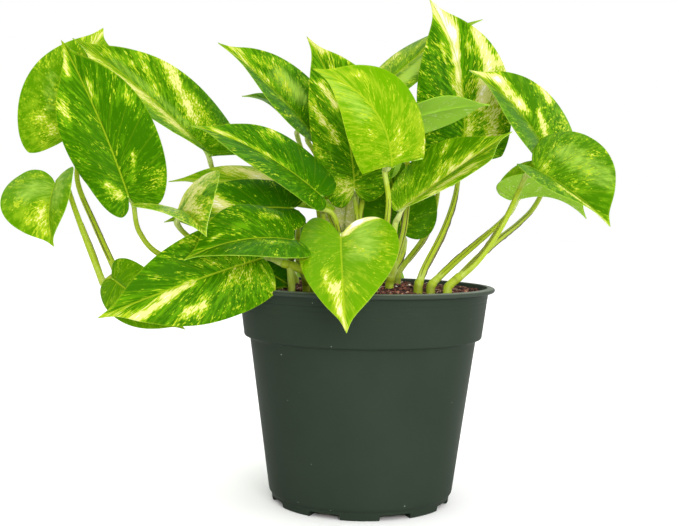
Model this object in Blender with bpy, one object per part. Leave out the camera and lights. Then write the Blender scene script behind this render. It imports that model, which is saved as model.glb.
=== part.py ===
"""A golden pothos in a moulded plastic nursery pot.

The pot stands on the floor with its axis on the Z axis and the middle of its base at the origin.
The front of the plant looks along -Y. Lengths are in millimetres where a name or a table says so,
and MM turns them into metres. Each rooted cutting is one solid with its petioles, and each leaf
blade is a solid of its own that sits on the end of its petiole.
"""

import math
from typing import NamedTuple

import bmesh
import bpy
import numpy as np

MM = 0.001
FIT_GAP = 0.3  # mm between solids that touch on the real plant
FRONT = np.array([0.0, -1.0, 0.0])

# Pot, a six-inch nursery pot
POT_HEIGHT = 136.0
LIP_RADIUS = 82.5
LIP_DROP = 3.2
BAND_TOP_RADIUS = 78.2
BAND_FOOT_RADIUS = 74.8
BAND_FOOT_HEIGHT = 104.0
WALL_TOP_RADIUS = 71.0
WALL_FOOT_RADIUS = 58.0
WALL_FOOT_HEIGHT = 6.5
BASE_RADIUS = 55.6
WALL = 1.6
FLOOR = 2.0
POT_SIDES = 48
DRAIN_SLOTS = 8
DRAIN_WIDTH = 20.0
DRAIN_HEIGHT = 3.4
DRAIN_DEPTH = 9.0
CUTTER_LENGTH = 20.0

# Soil
SOIL_EDGE_HEIGHT = 132.2
SOIL_MOUND = 2.6
SOIL_LUMP = 0.5
SOIL_RINGS = 7
SOIL_SIDES = 40
ROOT_DEPTH = 26.0

# Leaf blade
BLADE_THICKNESS = 0.8
KEEL_DEPTH = 0.9
VEIN_REACH = 2.6  # how strongly the veins lean towards the tip
COLUMNS = 2
HALF_OUTLINE = (
    (0.0, 0.0),
    (-0.06, 0.12),
    (-0.10, 0.36),
    (-0.07, 0.66),
    (0.05, 0.90),
    (0.22, 1.0),
    (0.42, 0.97),
    (0.60, 0.79),
    (0.76, 0.49),
    (0.89, 0.17),
    (1.0, 0.0),
)

# Stems
VINE_RADIUS = 2.7
PETIOLE_RADIUS = 2.2
PETIOLE_TOP_RADIUS = 1.4
TUBE_SIDES = 6
KNEE = 7.0  # mm over which a petiole turns into its blade

GREEN = "#4f9a12"
PALE_GREEN = "#a9c84a"
POT_GREEN = "#37423a"
SOIL_BROWN = "#4a2a20"


class Leaf(NamedTuple):
    """One blade: where it sits, in mm, and how it is turned and bent.

    Left and right are as seen when facing the upper side with the tip up. With no turn the
    upper side faces the front as squarely as it can, and a turn rolls it towards its right side.
    """

    name: str
    base: tuple
    tip: tuple
    turn: float
    width: float
    bow: float = 5.0  # mm that the midrib arches towards the upper side
    sweep: float = 0.0  # mm that the midrib swings to the right
    fold: tuple = (20.0, 20.0)  # degrees that the left and right halves rise from the midrib
    curl: float = -25.0  # degrees that they turn further on their way to the margin
    twist: float = 0.0  # degrees from base to tip
    lobe: tuple = (1.0, 1.0)  # lengths of the left and right lobes beside the petiole
    lean: float = 0.0  # share by which the left half is wider and the right half narrower
    slide: tuple = (0.0, 0.0)  # share of the length that each half's widest place lies nearer the tip


LEAVES = (
    Leaf(
        "leaf_far_left_back", (-185, 10, 231), (-173, 28, 299.5), -5, 79, 4, -4, (12, 12),
        lobe=(0.4, 0.8), slide=(-0.2, 0),
    ),
    Leaf(
        "leaf_far_left_front", (-142, -36, 189), (-186, -26, 283.5), 0, 56, 4, 3,
        lobe=(1.6, 1), lean=-0.1, slide=(0.16, 0),
    ),
    Leaf(
        "leaf_left_arch", (-98, 4, 216), (-187, 4, 289), 46, 66, 5, 0, (34, 22), -20, 28, (0.2, 0.1),
        slide=(0.25, -0.15),
    ),
    Leaf(
        "leaf_left_heart", (-189, -26, 196), (-185, -44, 158.5), 32, 60, 4, 0, (26, 38),
        lobe=(0.8, 1.4), lean=-0.1, slide=(0, -0.2),
    ),
    Leaf("leaf_left_low", (-152, -30, 138.5), (-103, -60, 112), 0, 35, 3, 0, (15, 15)),
    Leaf(
        "leaf_front_left", (-59, -60, 154.5), (-149.5, -82, 120), 5, 54, 3, 1, (15, 15),
        lobe=(0.3, 1), slide=(0, -0.15),
    ),
    Leaf(
        "leaf_front_left_upper", (-41, -61, 165), (-99.5, -91, 154), 50, 52, 7, 0, (25, 25),
        lobe=(0.1, 0.2),
    ),
    Leaf("leaf_left_shelf", (-44, -34, 183.5), (-120.5, -36, 174), 35, 42, 6, 0, (15, 15)),
    Leaf("leaf_left_small", (-109, -54, 180.5), (-84, -112, 168), -60, 60, 4, 0, (62, 26), lobe=(0.5, 1)),
    Leaf("leaf_mid_pale", (-28, -4, 190.5), (-122.5, -10, 199), 57, 40, 6, 0, (14, 14)),
    Leaf(
        "leaf_mid_left", (-26, -38, 191), (-104, -42, 231.5), 54, 46.5, 7, 0, (23, 23),
        lobe=(0.5, 0.5), lean=0.03,
    ),
    Leaf("leaf_up_left", (-36.5, 22, 234), (-96, 16, 289), 49, 54, 4, 0, (38, 28)),
    Leaf("leaf_up_left_back", (-44, 42, 238.5), (-84, 50, 258.5), 65, 26, 6, 0),
    Leaf(
        "leaf_up_middle", (-6.5, -8, 195.5), (-38.5, 4, 292), 0, 52, 4, 7, (15, 15),
        lean=-0.12, slide=(0, 0.08),
    ),
    Leaf(
        "leaf_bright", (15.5, -50, 208), (-31, -74, 262), 15, 49, 8, 11, (5, 5), -20,
        lobe=(0.1, 0.1), lean=-0.07,
    ),
    Leaf("leaf_up_right_pale", (7, 40, 260), (78, 64, 314), -58, 44, 6, 0, (12, 5)),
    Leaf(
        "leaf_tall", (62.5, 22, 219), (39.5, 28, 321), 0, 61.5, 5, 9, (14, 14),
        lobe=(0.6, 0.2), slide=(0, 0.03),
    ),
    Leaf(
        "leaf_right_upper", (115, 16, 222), (63.5, -5, 271), 54, 61, 6, 0, (20, 37),
        lobe=(0.2, 0.6), slide=(0, -0.28),
    ),
    Leaf(
        "leaf_mid_right", (20, -26, 182.5), (88.5, -24, 232), -50, 46, 1, 0, (33, 33),
        lobe=(0.6, 0.6), slide=(0.15, 0.5),
    ),
    Leaf(
        "leaf_far_right", (101.5, -31, 209), (140.5, -63, 176), -50, 64, 3, 0, (40, 30),
        lobe=(1.3, 0), lean=0.22, slide=(-0.15, 0),
    ),
    Leaf("leaf_right_curled", (95, 7, 191.5), (138.5, -4, 180), -70, 48, 8, 0, (64, 64), lobe=(1.6, 1.3)),
    Leaf(
        "leaf_front_heart", (-13.5, -64.5, 168), (-8.5, -120.5, 118.5), 4, 59, 4, 0, (16, 8),
        lean=0.15, slide=(0, -0.3),
    ),
    Leaf("leaf_low_right", (24.5, 6, 169), (12.5, 30, 222.5), 0, 50, 4, 0, (10, 10)),
    Leaf("leaf_mid_behind", (5.5, 4, 208), (14.5, 16, 248), 180, 32, 4, 0, (10, 10)),
    Leaf("leaf_mid_underside", (18, -26, 235.5), (74.5, -28, 247.5), -111, 46, 3, 0, (6, 6)),
    Leaf("leaf_cream", (-13, 20, 174.5), (-8, 44, 222.5), 0, 34, 4, 0, (15, 15)),
    Leaf("leaf_rim_small", (-61, -36, 146), (-41, -46, 135.5), -30, 20, 2, 0),
    Leaf("leaf_back_tall", (50, 56, 208), (46, 66, 284), 180, 36),
    Leaf("leaf_back_left", (-48, 50, 160), (-100, 88, 182), 70, 46, 8),
    Leaf("leaf_back_low_left", (-48, 92, 142), (-56, 104, 62), 180, 46),
    Leaf("leaf_back_low_right", (8, 96, 140), (16, 108, 68), 180, 44),
    Leaf("leaf_back_middle", (0, 60, 178), (-8, 122, 176), 180, 50, 8),
)


class Stem(NamedTuple):
    """One rooted cutting: the vine's points from where it leaves the soil, and its petioles.

    A petiole is the name of its leaf, the vine point that it starts at, and points on its way.
    A leg is a vine point, and the place in the soil that the vine roots in again from there.
    """

    name: str
    vine: tuple
    petioles: tuple
    legs: tuple = ()


STEMS = (
    Stem(
        "cutting_trailing",
        (
            (-50, 6, 138), (-65, 4, 144), (-102, -8, 140.5),
            (-133, -12, 137), (-152, -18, 140), (-161, -18, 134),
        ),
        (
            ("leaf_far_left_back", (-152, -18, 140), ((-169.5, -6, 171), (-184, 6, 199.5))),
            ("leaf_left_heart", (-161, -18, 134.5), ((-172, -18, 162), (-181, -15, 184), (-187, -11, 199))),
            ("leaf_left_low", (-152, -18, 140), ()),
        ),
    ),
    Stem(
        "cutting_left",
        ((-52, -22, 138), (-56, -23, 142), (-62, -25, 145)),
        (
            ("leaf_far_left_front", (-61, -25, 144.5), ((-92, -29, 146), (-123, -31, 154), (-136, -33, 168))),
            ("leaf_left_small", (-61, -25, 144.5), ((-85, -34, 151), (-105, -42, 166))),
            ("leaf_rim_small", (-57, -23.5, 142.5), ()),
        ),
    ),
    Stem(
        "cutting_left_back",
        ((-44, 10, 138), (-47, 9.5, 142), (-50, 9, 146)),
        (
            ("leaf_left_arch", (-49, 9, 145), ((-70, 6, 165), (-85.5, 4, 185), (-94, 3, 203))),
            ("leaf_left_shelf", (-49, 9, 145), ((-42, -12, 162),)),
        ),
    ),
    Stem(
        "cutting_front_left",
        ((-29, -50, 138), (-31, -52, 145), (-40, -55, 149.5), (-48, -57, 152)),
        (("leaf_front_left", (-47, -56.8, 151.7), ()),),
        (((-43, -55.8, 150.5), (-42, -54)),),
    ),
    Stem(
        "cutting_front",
        ((-34, -38, 138), (-34.5, -42, 143)),
        (("leaf_front_left_upper", (-34.5, -41.5, 142), ((-37.5, -46.5, 150),)),),
    ),
    Stem(
        "cutting_middle_left",
        ((-14, -10, 138), (-16, -12, 142)),
        (
            ("leaf_mid_pale", (-15, -11, 140), ((-24, -14, 165), (-26, -8, 180))),
            ("leaf_mid_left", (-15, -11, 140), ((-15, -26, 165), (-19, -33, 180))),
        ),
    ),
    Stem(
        "cutting_front_middle",
        ((6, -42, 138), (7, -43, 142)),
        (
            ("leaf_bright", (7, -43, 141), ((10, -44, 152), (14, -46, 186))),
            ("leaf_front_heart", (7, -43, 141), ((-6, -50, 156),)),
        ),
    ),
    Stem(
        "cutting_middle",
        ((-4, -8, 138), (-4, -8, 144)),
        (
            ("leaf_up_middle", (-4, -8, 143), ((-4, -7, 170),)),
            ("leaf_mid_behind", (-4, -8, 143), ((-3, -4, 176), (0, 0, 195))),
            ("leaf_up_left", (-4, -8, 143), ((-16, 4, 166), (-26, 12, 190), (-31, 20, 215))),
        ),
    ),
    Stem(
        "cutting_middle_right",
        ((16, -16, 138), (17, -18, 144)),
        (
            ("leaf_mid_right", (17, -18, 143), ((18, -25, 163),)),
            ("leaf_low_right", (17, -18, 143), ((24, -4, 155),)),
            ("leaf_cream", (17, -18, 143), ((0, 0, 158),)),
            ("leaf_mid_underside", (17, -18, 143), ((25, -12, 175), (26, -11, 212))),
        ),
    ),
    Stem(
        "cutting_tall",
        ((32.5, -40, 138), (33.5, -39, 142)),
        (("leaf_tall", (33.5, -39, 141), ((37, -34, 150), (49, -16, 172), (57.5, 6, 194))),),
    ),
    Stem(
        "cutting_right",
        ((40, -39, 138), (42, -37.5, 141)),
        (("leaf_right_curled", (41.5, -38, 140.5), ((56, -26, 153), (71.5, -14, 165.5), (86, 2, 177))),),
    ),
    Stem(
        "cutting_far_right",
        ((50, -41, 138), (53, -40, 141), (58, -38, 145)),
        (
            ("leaf_far_right", (57, -38.5, 144), ((67, -37, 153), (76.5, -35, 165.5), (86, -32, 182))),
            (
                "leaf_right_upper",
                (57, -38.5, 144),
                ((68, -28, 154.5), (84, -8, 166.5), (98, 10, 176), (110, 23, 187), (117, 29, 202)),
            ),
        ),
    ),
    Stem(
        "cutting_back_right",
        ((22, 34, 138), (23, 35, 142)),
        (
            ("leaf_up_right_pale", (22, 34, 141), ((20, 44, 190), (12, 42, 235))),
            ("leaf_back_tall", (22, 34, 141), ((44, 50, 172),)),
            ("leaf_back_low_right", (22, 34, 141), ((21, 56, 150), (14, 78, 148))),
        ),
    ),
    Stem(
        "cutting_back_left",
        ((-24, 36, 138), (-25, 36, 142)),
        (
            ("leaf_up_left_back", (-25, 36, 141), ((-32, 38, 190),)),
            ("leaf_back_left", (-25, 36, 141), ((-38, 42, 152),)),
            ("leaf_back_low_left", (-25, 36, 141), ((-33, 60, 158), (-42, 80, 156))),
            ("leaf_back_middle", (-25, 36, 141), ((-14, 46, 160),)),
        ),
    ),
)


def clear_scene():
    for old in list(bpy.data.objects):
        bpy.data.objects.remove(old)


def linear(hex_colour):
    """The linear RGBA of an sRGB hex colour."""
    parts = [int(hex_colour[i : i + 2], 16) / 255 for i in (1, 3, 5)]
    return [p / 12.92 if p <= 0.04045 else ((p + 0.055) / 1.055) ** 2.4 for p in parts] + [1.0]


def material(name, hex_colour, roughness):
    made = bpy.data.materials.new(name)
    made.use_nodes = True
    shader = made.node_tree.nodes["Principled BSDF"]
    shader.inputs["Base Color"].default_value = linear(hex_colour)
    shader.inputs["Roughness"].default_value = roughness
    shader.inputs["Metallic"].default_value = 0.0
    return made


def add_object(name, points_mm, faces, finish, sharp_angle=math.radians(40)):
    """An object whose mesh has these points, in mm, and these faces."""
    mesh = bpy.data.meshes.new(name)
    mesh.from_pydata([[c * MM for c in p] for p in points_mm], [], faces)
    mesh.validate()
    mesh.shade_smooth()
    mesh.set_sharp_from_angle(angle=sharp_angle)
    mesh.materials.append(finish)
    made = bpy.data.objects.new(name, mesh)
    bpy.context.scene.collection.objects.link(made)
    return made


def unit(v):
    v = np.asarray(v, float)
    return v / np.linalg.norm(v, axis=-1, keepdims=True)


def smooth_path(points, per_span):
    """Points along a Catmull-Rom curve through the given ones."""
    p = np.asarray(points, float)
    p = np.vstack([2 * p[0] - p[1], p, 2 * p[-1] - p[-2]])
    t = np.arange(per_span)[:, None] / per_span
    spans = [
        0.5 * (2 * b + (c - a) * t + (2 * a - 5 * b + 4 * c - d) * t**2 + (3 * b - a - 3 * c + d) * t**3)
        for a, b, c, d in zip(p, p[1:], p[2:], p[3:])
    ]
    return np.vstack([*spans, p[-2]])


# Pot


def pot_profile():
    """(radius, height) down the outside from the lip, across the base and up the inside."""
    outer = [
        (LIP_RADIUS - 3.4, POT_HEIGHT),
        (LIP_RADIUS - 0.6, POT_HEIGHT - 0.4),
        (LIP_RADIUS, POT_HEIGHT - 1.4),
        (LIP_RADIUS - 0.5, POT_HEIGHT - LIP_DROP + 0.6),
        (BAND_TOP_RADIUS + 0.9, POT_HEIGHT - LIP_DROP - 0.6),
        (BAND_TOP_RADIUS, POT_HEIGHT - LIP_DROP - 2.2),
        (BAND_FOOT_RADIUS + 0.2, BAND_FOOT_HEIGHT + 2.0),
        (BAND_FOOT_RADIUS - 0.8, BAND_FOOT_HEIGHT),
        (WALL_TOP_RADIUS, BAND_FOOT_HEIGHT - 2.4),
        (WALL_FOOT_RADIUS, WALL_FOOT_HEIGHT),
        (BASE_RADIUS + 0.9, WALL_FOOT_HEIGHT - 1.6),
        (BASE_RADIUS + 0.4, 0.8),
        (BASE_RADIUS - 0.6, 0.0),
        (0.0, 0.0),
    ]
    inner = [
        (0.0, FLOOR),
        (BASE_RADIUS - 1.8, FLOOR),
        (WALL_FOOT_RADIUS - WALL, WALL_FOOT_HEIGHT + 1.0),
        (WALL_TOP_RADIUS - WALL, BAND_FOOT_HEIGHT - 0.6),
        (BAND_FOOT_RADIUS - WALL - 0.6, BAND_FOOT_HEIGHT + 2.4),
        (BAND_TOP_RADIUS - WALL, POT_HEIGHT - LIP_DROP - 0.8),
    ]
    return outer + inner


def turned(name, profile, sides, finish):
    """A closed solid turned round the Z axis from a profile that ends on the axis at the bottom."""
    mesh = bmesh.new()
    ring = [mesh.verts.new((r * MM, 0, z * MM)) for r, z in profile]
    edges = [mesh.edges.new(pair) for pair in zip(ring, ring[1:] + ring[:1])]
    bmesh.ops.spin(mesh, geom=ring + edges, cent=(0, 0, 0), axis=(0, 0, 1),
                   angle=2 * math.pi, steps=sides, use_duplicate=False)
    bmesh.ops.remove_doubles(mesh, verts=mesh.verts, dist=0.01 * MM)
    bmesh.ops.dissolve_degenerate(mesh, edges=mesh.edges, dist=0.001 * MM)
    inner = [f for f in mesh.faces if all(math.hypot(*v.co.xy) < 0.01 * MM for v in f.verts)]
    bmesh.ops.delete(mesh, geom=inner, context="FACES")
    bmesh.ops.recalc_face_normals(mesh, faces=mesh.faces)
    data = bpy.data.meshes.new(name)
    mesh.to_mesh(data)
    mesh.free()
    data.shade_smooth()
    data.set_sharp_from_angle(angle=math.radians(35))
    data.materials.append(finish)
    made = bpy.data.objects.new(name, data)
    bpy.context.scene.collection.objects.link(made)
    return made


def box_cutter(name, size, place, turn):
    """A box of this size in mm, its middle at place, turned about Z."""
    x, y, z = (s / 2 for s in size)
    corners = [(i, j, k) for k in (-z, z) for i, j in ((-x, -y), (x, -y), (x, y), (-x, y))]
    faces = [(3, 2, 1, 0), (4, 5, 6, 7), (0, 1, 5, 4), (1, 2, 6, 5), (2, 3, 7, 6), (3, 0, 4, 7)]
    c, s = math.cos(turn), math.sin(turn)
    moved = [(i * c - j * s + place[0], i * s + j * c + place[1], k + place[2]) for i, j, k in corners]
    cutter = add_object(name, moved, faces, bpy.data.materials["moulded plastic"])
    cutter.hide_render = True
    cutter.display_type = "WIRE"
    return cutter


def cut_away(target, cutters, collection_name):
    """Subtracts the cutters from the target and removes them."""
    group = bpy.data.collections.new(collection_name)
    for cutter in cutters:
        group.objects.link(cutter)
    join_or_cut(target, group, "DIFFERENCE")


def join_or_cut(target, group, operation):
    boolean = target.modifiers.new(operation.lower(), "BOOLEAN")
    boolean.operation = operation
    boolean.operand_type = "COLLECTION"
    boolean.collection = group
    boolean.solver = "EXACT"
    bpy.context.view_layer.update()
    done = bpy.data.meshes.new_from_object(target.evaluated_get(bpy.context.evaluated_depsgraph_get()))
    target.modifiers.clear()
    target.data = done
    done.shade_smooth()
    done.set_sharp_from_angle(angle=math.radians(40))
    for other in list(group.objects):
        bpy.data.objects.remove(other)
    bpy.data.collections.remove(group)


def make_pot(plastic):
    pot = turned("pot", pot_profile(), POT_SIDES, plastic)
    slots = []
    for i in range(DRAIN_SLOTS):
        turn = 2 * math.pi * (i + 0.5) / DRAIN_SLOTS
        middle = BASE_RADIUS - DRAIN_DEPTH + CUTTER_LENGTH / 2
        place = (middle * math.cos(turn), middle * math.sin(turn), 0)
        size = (CUTTER_LENGTH, DRAIN_WIDTH, 2 * DRAIN_HEIGHT)
        slots.append(box_cutter(f"drain_{i}", size, place, turn))
    cut_away(pot, slots, "drains")
    return pot


# Soil


def soil_height(x, y):
    """The soil's top at a place in the pot, in mm: a low mound with soft lumps."""
    radius = math.hypot(x, y)
    mound = SOIL_MOUND * (1 - (radius / BAND_FOOT_RADIUS) ** 2)
    lumps = math.sin(0.17 * x + 0.6) * math.cos(0.21 * y - 0.4) + math.sin(0.11 * (x + y))
    return SOIL_EDGE_HEIGHT + mound + SOIL_LUMP * lumps * min(1, (BAND_FOOT_RADIUS - radius) / 10)


def soil_wall():
    """(radius, height) up the soil's side, one fit gap inside the pot."""
    clear = WALL + FIT_GAP + 0.15
    top_share = (SOIL_EDGE_HEIGHT - BAND_FOOT_HEIGHT) / (POT_HEIGHT - LIP_DROP - BAND_FOOT_HEIGHT)
    top_radius = BAND_FOOT_RADIUS + (BAND_TOP_RADIUS - BAND_FOOT_RADIUS) * top_share
    return [
        (BASE_RADIUS - 1.8 - FIT_GAP - 0.5, FLOOR + FIT_GAP),
        (WALL_FOOT_RADIUS - clear, WALL_FOOT_HEIGHT + 1.2),
        (WALL_TOP_RADIUS - clear, BAND_FOOT_HEIGHT - 0.2),
        (BAND_FOOT_RADIUS - clear - 0.8, BAND_FOOT_HEIGHT + 3.2),
        (top_radius - clear - 0.4, SOIL_EDGE_HEIGHT),
    ]


def make_soil(earth, roots):
    """The root ball, with a plain hole for each cutting."""
    wall = soil_wall()
    top_radius = wall[-1][0]
    rings = wall + [(top_radius * (1 - i / SOIL_RINGS), None) for i in range(1, SOIL_RINGS)]
    points, faces = [(0, 0, wall[0][1])], []
    for radius, height in rings:
        for k in range(SOIL_SIDES):
            a = 2 * math.pi * k / SOIL_SIDES
            x, y = radius * math.cos(a), radius * math.sin(a)
            points.append((x, y, soil_height(x, y) if height is None else height))
    top = len(points)
    points.append((0, 0, soil_height(0, 0)))
    for k in range(SOIL_SIDES):
        n = (k + 1) % SOIL_SIDES
        faces.append((0, 1 + n, 1 + k))
        for level in range(len(rings) - 1):
            a = 1 + level * SOIL_SIDES
            faces.append((a + k, a + n, a + n + SOIL_SIDES, a + k + SOIL_SIDES))
        a = 1 + (len(rings) - 1) * SOIL_SIDES
        faces.append((a + k, a + n, top))
    soil = add_object("soil", points, faces, earth)
    holes = []
    for number, (x, y, radius) in enumerate(roots):
        bottom = SOIL_EDGE_HEIGHT - ROOT_DEPTH - FIT_GAP
        path = [(x, y, bottom), (x, y, POT_HEIGHT + 10)]
        points, faces = tube(path, [radius + FIT_GAP] * 2, TUBE_SIDES)
        hole = add_object(f"hole_{number}", points, faces, earth)
        hole.hide_render = True
        hole.display_type = "WIRE"
        holes.append(hole)
    cut_away(soil, holes, "holes")
    return soil


# Stems


def tube(path, radii, sides):
    """Points and faces of a closed tube along a path, with a radius at each of its points."""
    path = np.asarray(path, float)
    ahead = unit(np.gradient(path, axis=0))
    side = unit(np.cross(ahead[0], (0.3, 1, 0.2)))
    points, faces = [], []
    for place, forward, radius in zip(path, ahead, radii):
        side = unit(side - forward * (side @ forward))
        other = np.cross(forward, side)
        for k in range(sides):
            a = 2 * math.pi * k / sides
            points.append(place + radius * (math.cos(a) * side + math.sin(a) * other))
    for ring in range(len(path) - 1):
        a = ring * sides
        for k in range(sides):
            n = (k + 1) % sides
            faces.append((a + k, a + n, a + n + sides, a + k + sides))
    faces.append(tuple(reversed(range(sides))))
    faces.append(tuple(range((len(path) - 1) * sides, len(path) * sides)))
    return points, faces


def vine_path(stem):
    """Straight up from the root ball, then along the vine's own points."""
    x, y, _ = stem.vine[0]
    root = (x, y, SOIL_EDGE_HEIGHT - ROOT_DEPTH)
    return np.vstack([[root], smooth_path(stem.vine, 2)])


def petiole_path(leaf, start, way):
    """From the vine to just under the blade's base, where the petiole runs on into the midrib."""
    frame = BladeFrame(leaf)
    arrive = unit(frame.ahead_at_base * 0.8 + frame.up_at_base * 0.6)
    drop = BLADE_THICKNESS / 2 + KEEL_DEPTH + FIT_GAP + PETIOLE_TOP_RADIUS * 0.8
    end = frame.base - frame.up_at_base * drop
    return np.vstack([smooth_path([start, *way, end - arrive * KNEE], 3), end - arrive * KNEE * 0.4, end])


def make_stem(stem, leaves, flesh):
    """The vine with its petioles, fused into one solid."""
    path = vine_path(stem)
    radii = np.linspace(VINE_RADIUS, VINE_RADIUS * 0.9, len(path))
    vine = add_object(stem.name, *tube(path, radii, TUBE_SIDES), flesh)
    group = bpy.data.collections.new("petioles")
    for leaf_name, start, way in stem.petioles:
        path = petiole_path(leaves[leaf_name], start, way)
        radii = np.linspace(PETIOLE_RADIUS, PETIOLE_TOP_RADIUS, len(path))
        petiole = add_object("petiole", *tube(path, radii, TUBE_SIDES), flesh)
        group.objects.link(petiole)
    for start, (x, y) in stem.legs:
        rooted = [(x, y, POT_HEIGHT + 2), (x, y, SOIL_EDGE_HEIGHT - ROOT_DEPTH)]
        path = np.vstack([smooth_path([start, rooted[0]], 2), rooted[1:]])
        leg = add_object("leg", *tube(path, [PETIOLE_RADIUS] * len(path), TUBE_SIDES), flesh)
        group.objects.link(leg)
    join_or_cut(vine, group, "UNION")
    return vine


# Leaf blades


class BladeFrame:
    """The straight line from a blade's base to its tip, and the directions up and right of it."""

    def __init__(self, leaf):
        self.leaf = leaf
        self.base = np.array(leaf.base, float)
        self.chord = np.array(leaf.tip, float) - self.base
        ahead = unit(self.chord)
        squarely = unit(FRONT - ahead * (FRONT @ ahead))
        turn = math.radians(leaf.turn)
        self.up = squarely * math.cos(turn) + np.cross(ahead, squarely) * math.sin(turn)
        self.right = np.cross(ahead, self.up)
        self.ahead_at_base = self.midrib(np.array([0.0]))[1][0]
        self.up_at_base = unit(np.cross(self.right, self.ahead_at_base))

    def midrib(self, along):
        """Points and directions on the midrib at these shares of its length."""
        s = np.asarray(along, float)[:, None]
        inside = np.clip(s, 0, 1)
        arch = 4 * inside * (1 - inside) + 4 * (s - inside)
        slope = 4 * (1 - 2 * inside)
        off = self.up * self.leaf.bow + self.right * self.leaf.sweep
        points = self.base + self.chord * s + off * arch
        return points, unit(self.chord + off * slope)

    def point(self, along, across):
        """Points of the blade's middle surface; across runs from -1 at the left to 1 at the right."""
        leaf = self.leaf
        along, across = np.asarray(along, float), np.asarray(across, float)
        points, ahead = self.midrib(along)
        right = unit(np.cross(ahead, self.up))
        up = np.cross(right, ahead)
        turn = np.radians(leaf.twist) * (along - 0.5)[:, None]
        right, up = right * np.cos(turn) + up * np.sin(turn), up * np.cos(turn) - right * np.sin(turn)
        fold = np.radians(np.where(across >= 0, leaf.fold[1], leaf.fold[0]))
        curl = math.radians(leaf.curl) + 1e-6
        q = np.abs(across)
        half = leaf.width / 2 * (1 - leaf.lean * np.sign(across))
        out = half / curl * (np.sin(fold + curl * q) - np.sin(fold))
        rise = -half / curl * (np.cos(fold + curl * q) - np.cos(fold))
        return points + right * (np.sign(across) * out)[:, None] + up * rise[:, None]


def blade_grid(leaf):
    """A blade as rows of points: shares of its length and of its half width, left to right.

    Row by row, veins run from the midrib to the outline's points.
    """
    rows = []
    for i, (u, v) in enumerate(HALF_OUTLINE):
        root = (i / (len(HALF_OUTLINE) - 1)) ** VEIN_REACH
        row = []
        for j in range(-COLUMNS, COLUMNS + 1):
            side = int(j > 0)
            end = u * (leaf.lobe[side] if u < 0 else 1) + v * (1 - u) * leaf.slide[side]
            share = abs(j) / COLUMNS
            row.append((root + (end - root) * share, math.copysign(v * share, j)))
        rows.append(row)
    return rows


def blade_mesh(rows):
    """The grid's points with both ends drawn together, its triangles, and its edge in order."""
    width = len(rows[0])
    base, tip = 0, (len(rows) - 2) * width + 1
    places = [rows[0][width // 2], *(place for row in rows[1:-1] for place in row), rows[-1][width // 2]]

    def number(i, j):
        return base if i == 0 else tip if i == len(rows) - 1 else 1 + (i - 1) * width + j

    triangles = []
    for i in range(len(rows) - 1):
        for j in range(width - 1):
            a, b, c, d = number(i, j), number(i, j + 1), number(i + 1, j + 1), number(i + 1, j)
            pair = [(a, b, c), (a, c, d)] if j >= width // 2 else [(a, b, d), (b, c, d)]
            triangles += [t for t in pair if len(set(t)) == 3]
    inner = range(1, len(rows) - 1)
    edge = [base, *(number(i, width - 1) for i in inner), tip, *(number(i, 0) for i in reversed(inner))]
    return np.array(places), np.array(triangles), edge


def vertex_normals(points, triangles):
    corners = points[triangles]
    normals = np.cross(corners[:, 1] - corners[:, 0], corners[:, 2] - corners[:, 0])
    total = np.zeros_like(points)
    for corner in range(3):
        np.add.at(total, triangles[:, corner], normals)
    return unit(total)


def make_blade(leaf, flesh):
    """A thin closed solid, split into the same triangles above and below, with a keel under it."""
    places, triangles, edge = blade_mesh(blade_grid(leaf))
    along, across = places.T
    points = BladeFrame(leaf).point(along, across)
    normals = vertex_normals(points, triangles)
    keel = np.where(across == 0, KEEL_DEPTH * (1 - np.clip(along, 0, 1)), 0)
    above = points + normals * BLADE_THICKNESS / 2
    below = points - normals * (BLADE_THICKNESS / 2 + keel)[:, None]
    n = len(points)
    faces = triangles.tolist() + (triangles[:, ::-1] + n).tolist()
    for a, b in zip(edge, edge[1:] + edge[:1]):
        faces += [(a, a + n, b + n), (a, b + n, b)]
    return add_object(leaf.name, np.vstack([above, below]), faces, flesh, math.radians(60))


def main():
    clear_scene()
    plastic = material("moulded plastic", POT_GREEN, 0.45)
    earth = material("potting mix", SOIL_BROWN, 0.95)
    stalk = material("petiole green", PALE_GREEN, 0.45)
    blade = material("leaf green", GREEN, 0.4)
    make_pot(plastic)
    rooted = [(*stem.vine[0][:2], VINE_RADIUS) for stem in STEMS]
    rooted += [(*place, PETIOLE_RADIUS) for stem in STEMS for _, place in stem.legs]
    make_soil(earth, rooted)
    leaves = {leaf.name: leaf for leaf in LEAVES}
    for stem in STEMS:
        make_stem(stem, leaves, stalk)
    for leaf in LEAVES:
        make_blade(leaf, blade)


main()
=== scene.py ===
# %% [markdown]
# # A golden pothos in a nursery pot
#
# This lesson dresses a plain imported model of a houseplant. The model already says where every leaf, stalk and
# clod of soil is, and how big it is. Here the same shapes are made again with far more points, so that
# margins curve, veins show and the leaves carry their cream marbling.
#
# Everything is in one frame: metres, the pot standing on Z = 0 round the Z axis, and the front of the plant
# looking along -Y. The tables are in millimetres, which are easier to read.

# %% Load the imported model
import math
from typing import NamedTuple

import bmesh
import bpy
import numpy as np
from mathutils import Matrix, Vector


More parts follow.
